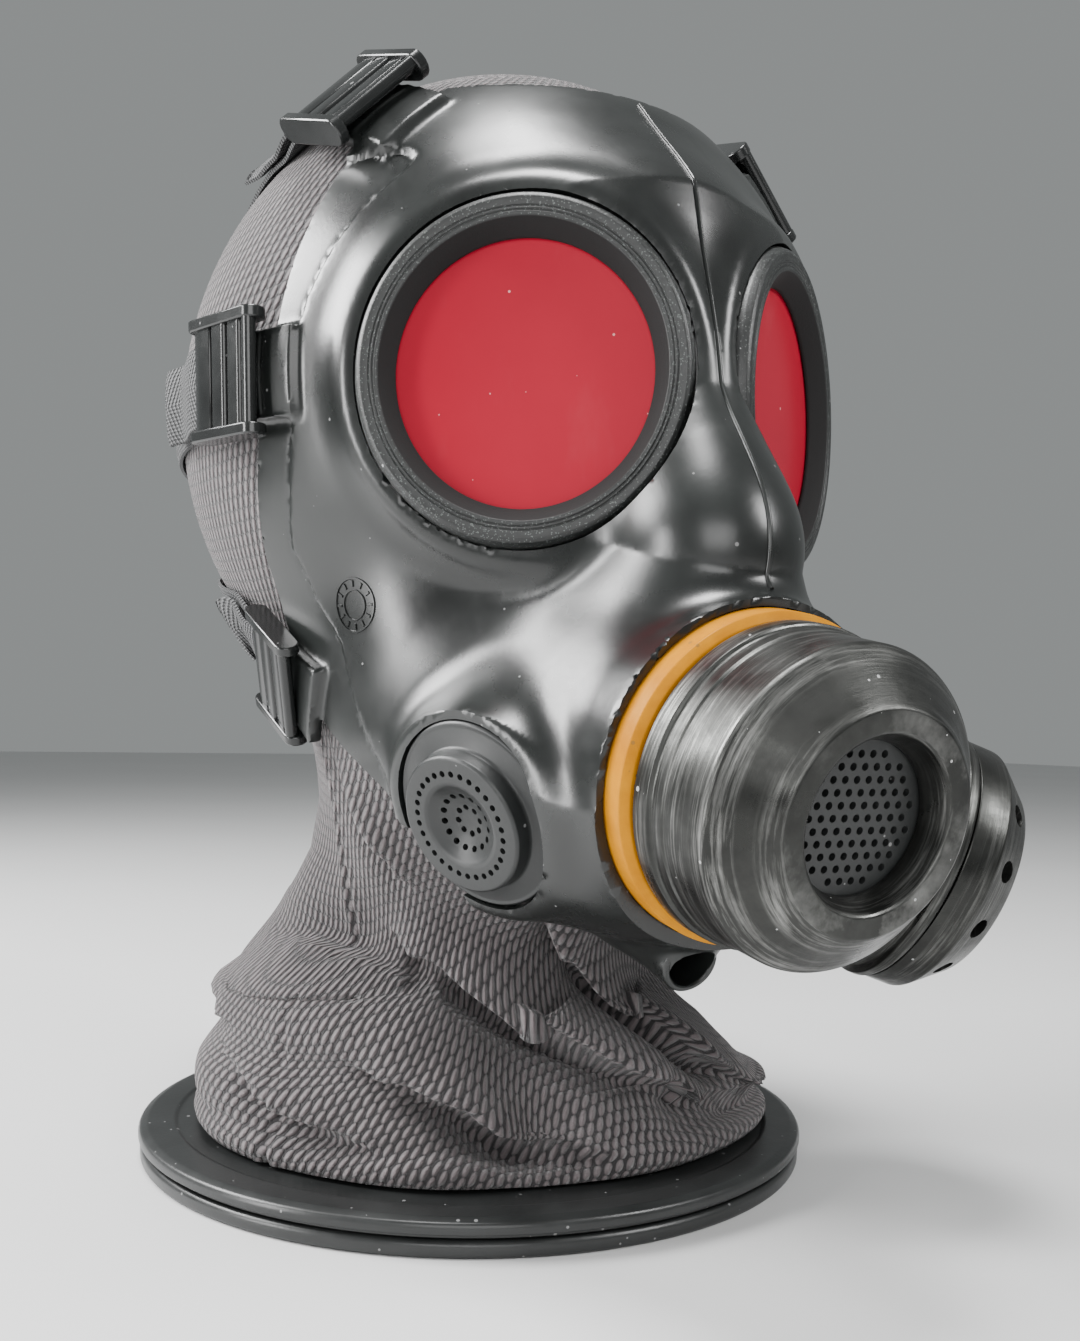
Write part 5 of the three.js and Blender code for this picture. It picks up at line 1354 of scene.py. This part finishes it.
# %% Side canister
SIDE_LENGTH, SIDE_RADIUS, SIDE_FACE, SIDE_CHAMFER, SIDE_BAND = 48.2, 31.6, 25, 8.6, 8.3
BODY_END = SIDE_LENGTH - SIDE_CHAMFER - SIDE_BAND
SIDE_VENTS, SIDE_VENT = 12, 2.7


def side_body():
    body, inside, bore, bead = SIDE_RADIUS - 1, SIDE_RADIUS - 3.6, 14, SIDE_RADIUS + 0.6
    hub = CHEEK_SEAT - CHEEK_HUB
    profile = [(CHEEK_BORE, hub), (CHEEK_BORE, CHEEK_SEAT), (CHEEK_RIM, CHEEK_SEAT), (CHEEK_RIM, 6)]
    profile += [(body, 15), (body, BODY_END - 3.6), (bead, BODY_END - 3), (bead, BODY_END - 0.6)]
    profile += [(SIDE_RADIUS, BODY_END), (inside, BODY_END), (inside, 17.6), (bore, 8.6), (bore, hub)]
    return turned("side_canister_drum", profile, CHEEKS["left"], SIDE_METAL, 144, 0.4, 30)


def side_cap():
    low, edge = BODY_END + SEAT_GAP, SIDE_LENGTH - SIDE_CHAMFER
    profile = [(0, SIDE_LENGTH - 2.6), (SIDE_FACE - 1.6, SIDE_LENGTH - 2.6), (SIDE_RADIUS - 2.6, edge - 1),
               (SIDE_RADIUS - 2.6, low), (SIDE_RADIUS, low), (SIDE_RADIUS, edge), (SIDE_FACE, SIDE_LENGTH),
               (SIDE_FACE - 4, SIDE_LENGTH), (SIDE_FACE - 4.4, SIDE_LENGTH - 0.4), (0, SIDE_LENGTH - 0.4)]
    piece = turned("side_canister_lid", profile, CHEEKS["left"], SIDE_METAL, 144, 0.4, 30)
    tilt = math.atan2(SIDE_CHAMFER, SIDE_RADIUS - SIDE_FACE)
    middle = (SIDE_RADIUS + SIDE_FACE) / 2
    places, out = on_ring(CHEEKS["left"], middle, SIDE_LENGTH - SIDE_CHAMFER / 2, SIDE_VENTS, 0.25)
    drills = out * math.sin(tilt) + CHEEKS["left"][3] * math.cos(tilt)
    return pierced(piece, places, drills, SIDE_VENT, 8)


settle(side_body(), "gunmetal", "side_canister_body")
settle(side_cap(), "gunmetal", "side_canister_cap")


# %% [markdown]
# Under the chin the rubber ends in a short tube for drinking. The web that carries it is part of
# the facepiece, and this turned end gives the tube its clean round lip.

# %% Drink tube
def drink_tube():
    profile = [(TUBE_BORE, -16), (TUBE_RADIUS, -16), (TUBE_RADIUS, -0.6), (6.5, 0), (5.8, 0),
               (TUBE_BORE, -0.5)]
    return turned("drink_tube_end", profile, TUBE, RUBBER, 64, 0.2)


settle(drink_tube(), "black_rubber")


# %% [markdown]
# The stand is two black discs with a groove between them and a shallow recess on top. Its plastic
# is the only one that lies flat under the light, so it shows the most dust.

# %% Round stand
FOOT_RADIUS, FOOT_TOP = 95, 4.4
TOP_RADIUS, TOP_LOW, TOP_HIGH, GROOVE_RADIUS, RECESS_RADIUS, RECESS_LOW = 95.4, 4.7, 9.6, 93.8, 84.6, 9.0


def stand():
    lower = [(0, 0), (94.2, 0), (FOOT_RADIUS, 0.8), (FOOT_RADIUS, 3.4), (94.2, FOOT_TOP), (0, FOOT_TOP)]
    upper = [(0, TOP_LOW), (GROOVE_RADIUS, TOP_LOW), (GROOVE_RADIUS, 5.7), (TOP_RADIUS, 5.9)]
    upper += [(TOP_RADIUS, 7.8), (94.9, 8.8), (92.8, TOP_HIGH), (85.6, TOP_HIGH)]
    upper += [(RECESS_RADIUS, RECESS_LOW), (0, RECESS_LOW)]
    for name, profile, node in (("foot", lower, "stand_lower_disc"), ("top", upper, "stand_upper_disc")):
        disc = turned(f"stand_{name}", profile, STAND, STAND_PLASTIC, 200, 0.5, 30)
        settle(disc, "stand_plastic", node)


stand()


# %% [markdown]
# The hood is open knit, loose round the neck. Its smooth form comes from the same distances as
# the head. Folds are rows of a table: where each lies, how long and deep it is, and how far its
# upper side hangs over, because cloth that bulges also sags.

# %% The hood's folds
FOLDS = [
    # Turn and height along each crease, how wide and deep it is. Cloth stands out above the
    # crease and sinks below it, or the other way round where the depth is negative.
    {"along": [(-205, 56), (-172, 62), (-152, 61), (-136, 57)], "width": 11, "depth": -6},
    {"along": [(-130, 63), (-112, 55), (-96, 46), (-84, 38), (-70, 30)], "width": 9, "depth": 11},
    {"along": [(-132, 36), (-119, 30), (-107, 22), (-96, 18)], "width": 7, "depth": 8},
    {"along": [(-92, 68), (-76, 53), (-62, 37), (-46, 27)], "width": 8, "depth": 9},
    {"along": [(-64, 25), (-38, 20), (-8, 19)], "width": 7, "depth": 5},
    {"along": [(-151, 114), (-144, 101), (-136, 88)], "width": 5, "depth": 4},
    {"along": [(-172, 34), (-156, 26), (-140, 20)], "width": 7, "depth": 4},
    {"along": [(60, 62), (85, 51), (112, 42)], "width": 11, "depth": 6},
    {"along": [(128, 60), (150, 49), (170, 46)], "width": 10, "depth": 6},
    {"along": [(8, 54), (30, 45), (54, 33)], "width": 10, "depth": 7},
    {"along": [(92, 31), (122, 25), (150, 20)], "width": 9, "depth": 5},
    {"along": [(-40, 60), (-18, 50), (4, 36)], "width": 10, "depth": 6},
]
# Broad swellings of the cloth: turn, height, their spans, and how far they stand out
SWELLS = [(-176, 46, 34, 15, 9), (-84, 56, 26, 12, 4), (-126, 46, 20, 12, 3), (-30, 30, 26, 12, 3)]
# Millimetres of cloth to a degree of turn, how abrupt a fold is and how far its table is scaled
ARC, FOLD_EDGE, FOLD_SCALE = 1.05, 4.5, 1.6
SEAM_TURNS = (-158, 90)


def crease_distance(along, turn, height):
    """Distance to a crease in the unrolled cloth, positive above it, and the share along it."""
    nearest, side, run = np.full(turn.shape, 1e9), np.zeros(turn.shape), np.zeros(turn.shape)
    last = len(along) - 1
    for i in range(last):
        a, b = np.array(along[i], float), np.array(along[i + 1], float)
        x = ((turn - a[0] + 180) % 360 - 180) * ARC
        y = height - a[1]
        dx, dy = (b[0] - a[0]) * ARC, b[1] - a[1]
        share = np.clip((x * dx + y * dy) / (dx * dx + dy * dy), 0, 1)
        away = np.hypot(x - share * dx, y - share * dy)
        closer = away < nearest
        side = np.where(closer, np.sign(dx * y - dy * x), side)
        run = np.where(closer, (i + share) / last, run)
        nearest = np.minimum(nearest, away)
    return nearest * side, run


def fold_push(turn, height):
    """Outward push of the cloth by its folds and swellings."""
    push = np.zeros(turn.shape)
    for fold in FOLDS:
        distance, run = crease_distance(fold["along"], turn, height)
        x = distance / fold["width"]
        taper = np.sin(math.pi * np.clip(run, 0.06, 0.94)) ** 0.6
        push += fold["depth"] * taper * np.tanh(FOLD_EDGE * x) * np.exp(-x * x) * FOLD_SCALE
    for swell_turn, swell_height, span, rise, out in SWELLS:
        off = (turn - swell_turn + 180) % 360 - 180
        push += out * np.exp(-((off / span) ** 2) - ((height - swell_height) / rise) ** 2)
    return push


def seam_push(turn):
    """A stitched seam: a thin groove between two low ridges, down the cloth."""
    push = np.zeros(turn.shape)
    for seam_turn in SEAM_TURNS:
        x = ((turn - seam_turn + 180) % 360 - 180) * ARC
        push += 0.6 * np.exp(-(((np.abs(x) - 2.2) / 1.2) ** 2)) - np.exp(-x * x)
    return push


# Rows run from the crown in an arch round one centre, then level down to the hem
ARCH_SHARE, ARCH_HEIGHT, HEM_HEIGHT = 0.42, 150.0, 10.2
HOOD_TURNS, HOOD_ROWS = 280, 172
# Below this height the cloth hangs loose, and its upper sides sag by this share of their push
LOOSE_HEIGHT, LOOSE_FADE, SAG = 118, 30, 0.85
# The rolled hem and the line stitched above it: height, and how far each stands out or in
HEM_MIDDLE, HEM_ROLL, STITCH_LINE, STITCH_DEPTH = 13.5, 1.4, 19, 0.8


def hood_points(turns, rows):
    turn = np.linspace(0, 2 * math.pi, turns, endpoint=False)
    share = np.linspace(0, 1, rows)
    points = np.empty((turns, rows, 3))
    for i, s in enumerate(share):
        tilt, height = math.pi / 2, ARCH_HEIGHT
        if s < ARCH_SHARE:
            tilt = s / ARCH_SHARE * math.pi / 2 + 0.006
        else:
            height += (HEM_HEIGHT - ARCH_HEIGHT) * (s - ARCH_SHARE) / (1 - ARCH_SHARE)
        across, up = math.sin(tilt), np.full(turns, math.cos(tilt))
        direction = np.stack([np.cos(turn) * across, np.sin(turn) * across, up], -1)
        points[:, i] = cast_out(hood_gap, (0, -4, height), direction, 170, 4.0)
    return points


def hood():
    """The hood's mesh, its points, and where each point lies round the hood and down it."""
    turns, rows = HOOD_TURNS, HOOD_ROWS
    points = hood_points(turns, rows)
    normal = slope(hood_gap, points.reshape(-1, 3)).reshape(points.shape)
    height = points[..., 2]
    turn = np.degrees(np.arctan2(points[..., 1], points[..., 0]))
    loose = np.clip((LOOSE_HEIGHT - height) / LOOSE_FADE, 0, 1) * np.clip((height - 8) / 6, 0.25, 1)
    push = fold_push(turn, height) * loose
    steps = np.linalg.norm(np.diff(points, axis=1), axis=2)
    along = np.cumsum(np.hstack([np.zeros((turns, 1)), steps]), axis=1)
    crumple = np.sin(np.radians(turn * 5) + height * 0.09) * np.sin(np.radians(turn * 3) - height * 0.05 + 1)
    push += crumple * loose + seam_push(turn) * np.clip((120 - height) / 10, 0, 1)
    hem = np.exp(-(((height - HEM_MIDDLE) / 3.5) ** 2))
    push += hem * HEM_ROLL - STITCH_DEPTH * np.exp(-((height - STITCH_LINE) ** 2))
    points = points + normal * push[..., None]
    points[..., 2] -= np.maximum(push, 0) * SAG * loose * np.clip((height - 14) / 10, 0, 1)
    index = np.arange(turns * rows).reshape(turns, rows)
    nxt = np.roll(index, -1, axis=0)
    quads = np.stack([index[:, :-1], index[:, 1:], nxt[:, 1:], nxt[:, :-1]], -1).reshape(-1, 4)
    flat = points.reshape(-1, 3)
    level = flat[:, 2]
    cut = (flat[:, 1] < rim_depth(level) - RIM_OVERLAP) & (level > FACE_LOW) & (level < RIM_TOP - RIM_OVERLAP)
    faces = [list(q) for q in quads[~cut[quads].any(1)]]
    faces.append(list(index[:, 0])[::-1])
    piece = mesh_object("knitted_hood", flat, faces, KNIT, 180)
    u = np.repeat(np.arange(turns) / turns, rows)
    return piece, flat, u, along.reshape(-1)


# %% [markdown]
# The knit shows as rows of small slanted lumps, each row shifted by half a lump, with the pits
# between them painted near-black as shade. The pattern is worked out from a UV map that counts
# stitches round the hood and rows down it, so it follows every fold.

# %% Knitted cloth
# Stitches round the hood, their pitch and the rows', and how far the crown's panel reaches
STITCHES, STITCH_PITCH, ROW_PITCH, CROWN_PANEL = 164, 2.8, 2.9, 52
CLOTH_THICKNESS = 1.4


def knit_group():
    tree, g, given, out = new_group(
        "Waffle knit",
        [("Vector", VECTOR, None), ("Slant", FLOAT, 0.25)],
        [("Height", FLOAT), ("Painted pit shade", FLOAT)],
    )
    parts = g.node("ShaderNodeSeparateXYZ", {"Vector": given["Vector"]}).outputs
    row = g.math("FLOOR", parts[1])
    odd = g.math("MULTIPLY", g.math("MODULO", row, 2.0), 0.5)
    y = g.math("SUBTRACT", g.math("FRACT", parts[1]), 0.5)
    skewed = g.math("ADD", g.math("ADD", parts[0], odd), g.math("MULTIPLY", y, given["Slant"]))
    x = g.math("SUBTRACT", g.math("FRACT", skewed), 0.5)
    squares = g.math("ADD", g.math("MULTIPLY", g.math("MULTIPLY", x, x), 6.2),
                     g.math("MULTIPLY", g.math("MULTIPLY", y, y), 3.0))
    dome = g.math("SUBTRACT", 1.0, squares, True)
    strands = g.noise(given["Vector"], 3.5, 3.0, 0.6)
    height = g.math("ADD", dome, g.math("MULTIPLY", strands, 0.5))
    g.tree.links.new(height, out.inputs["Height"])
    # The low gaps between the lumps, as the mask for the painted shade below.
    g.tree.links.new(g.span(dome, 0.12, 0.52, 1.0, 0.0), out.inputs["Painted pit shade"])
    return tree


def knit_material():
    material, g, shader, place = finish("Knitted cloth", 0.9)
    shader.inputs["Sheen Weight"].default_value = 0.25
    shader.inputs["Sheen Roughness"].default_value = 0.5
    uv = g.node("ShaderNodeUVMap", uv_map="knit").outputs[0]
    knit = g.group(knit_group(), {"Vector": uv, "Slant": 0.35})
    cloud = g.group(MOTTLE, {"Vector": place, "Scale": 30.0, "Low": 0.3, "High": 0.75})["Mask"]
    yarn = g.mix(cloud, (0.105, 0.087, 0.09, 1), (0.145, 0.123, 0.125, 1))
    # Painted shade: the gaps between the lumps are coloured near-black, standing in for the shadow in the
    # holes of the knit.
    base = g.mix(g.math("MULTIPLY", knit["Painted pit shade"], 0.94), yarn, (0.005, 0.004, 0.005, 1))
    feed(g, shader, base, None, g.bump(knit["Height"], 1.0, 0.0013))
    return material


def knit_map(piece, flat, around, down):
    """UV map in stitches: round the hood and down it, and square on the flat crown panel."""
    corner = np.empty(len(piece.data.loops), int)
    piece.data.loops.foreach_get("vertex_index", corner)
    starts = np.empty(len(piece.data.polygons), int)
    piece.data.polygons.foreach_get("loop_start", starts)
    sizes = np.diff(np.r_[starts, len(corner)])

    def face_most(values):
        return np.repeat(np.maximum.reduceat(values, starts), sizes)

    u = around[corner] * STITCHES
    u = np.where(face_most(u) - u > STITCHES / 2, u + STITCHES, u)
    spread = np.stack([u, down[corner] / ROW_PITCH], -1)
    panel = flat[corner][:, :2] / (STITCH_PITCH, ROW_PITCH)
    on_panel = face_most(down[corner]) < CROWN_PANEL
    uv = piece.data.uv_layers.new(name="knit")
    uv.data.foreach_set("uv", np.where(on_panel[:, None], panel, spread).ravel())


KNIT = knit_material()
hood_piece, hood_flat, around, down = hood()
knit_map(hood_piece, hood_flat, around, down)
thick = hood_piece.modifiers.new("cloth thickness", "SOLIDIFY")
thick.thickness = CLOTH_THICKNESS * MM
thick.offset = -1
settle(hood_piece, "hood_knit", "hood_crown", "hood_skirt")


# %% [markdown]
# The camera is the photograph's: its place and aim were worked out from the round fittings,
# whose sizes are known. The lens is given as the focal length in pixels of a frame 1080 by 1341.

# %% Camera
FRAME_SIZE = (1080, 1341)
FOCAL_PIXELS, MIDDLE_PIXELS = 1337.0, (540.0, 898.0)
CAMERA_PLACE = (-170.07, -347.01, 121.96)
AZIMUTH, ELEVATION, ROLL = -28.87, -7.49, 1.22


def photo_camera():
    data = bpy.data.cameras.new("camera")
    data.sensor_width = 36
    data.lens = FOCAL_PIXELS / FRAME_SIZE[1] * data.sensor_width
    data.shift_x = (FRAME_SIZE[0] / 2 - MIDDLE_PIXELS[0]) / FRAME_SIZE[1]
    data.shift_y = (MIDDLE_PIXELS[1] - FRAME_SIZE[1] / 2) / FRAME_SIZE[1]
    data.clip_start = 0.01
    camera = bpy.data.objects.new("camera", data)
    bpy.context.scene.collection.objects.link(camera)
    turn = Matrix.Rotation(math.radians(AZIMUTH), 4, "Z")
    lean = Matrix.Rotation(math.radians(90 + ELEVATION), 4, "X")
    roll = Matrix.Rotation(math.radians(ROLL), 4, "Z")
    camera.matrix_world = Matrix.Translation(Vector(CAMERA_PLACE) * MM) @ turn @ lean @ roll
    bpy.context.scene.camera = camera


photo_camera()


# %% [markdown]
# The studio is a pale floor, a soft even sky and five softboxes. The strongest stands behind the
# near cheek and gives the rubber its long highlight, one hangs above the brow, a narrow one marks the
# flank, and two weak ones in front keep the lenses and the cloth from going dark. A room is large,
# so the places and sizes in this cell are in metres.

# %% Floor and studio light
def floor_material():
    material, g, shader, place = finish("Pale floor", 0.6)
    cloud = g.noise(place, 3.0, 3.0)
    feed(g, shader, g.mix(cloud, grey(0.62), grey(0.68)))
    return material


FLOOR_HALF, SKY_COLOR, SKY_STRENGTH = 4, (0.86, 0.9, 0.9, 1), 0.32
AIM = (0, -0.06, 0.15)


def studio():
    mesh = bpy.data.meshes.new("floor")
    corners = [(x * FLOOR_HALF, y * FLOOR_HALF, 0) for x, y in ((-1, -1), (1, -1), (1, 1), (-1, 1))]
    mesh.from_pydata(corners, [], [(0, 1, 2, 3)])
    floor = bpy.data.objects.new("floor", mesh)
    bpy.context.scene.collection.objects.link(floor)
    mesh.materials.append(floor_material())
    world = bpy.data.worlds.new("studio")
    bpy.context.scene.world = world
    world.use_nodes = True
    sky = world.node_tree.nodes["Background"]
    sky.inputs["Color"].default_value = SKY_COLOR
    sky.inputs["Strength"].default_value = SKY_STRENGTH


def softbox(name, place, size, power):
    data = bpy.data.lights.new(name, "AREA")
    data.shape = "RECTANGLE"
    data.size, data.size_y = size
    data.energy = power
    light = bpy.data.objects.new(name, data)
    bpy.context.scene.collection.objects.link(light)
    light.location = place
    light.rotation_euler = (Vector(AIM) - Vector(place)).to_track_quat("-Z", "Y").to_euler()


studio()
softbox("cheek softbox", (-0.72, 0.46, 0.72), (0.55, 0.4), 25)
softbox("top softbox", (-0.12, -0.1, 1.15), (0.3, 0.3), 14)
softbox("flank softbox", (-1.0, 0.02, 0.22), (0.16, 0.5), 8)
softbox("front softbox", (0.55, -0.75, 0.75), (0.25, 0.35), 8)
softbox("camera fill", (-0.55, -1.0, 0.45), (0.7, 0.5), 6)
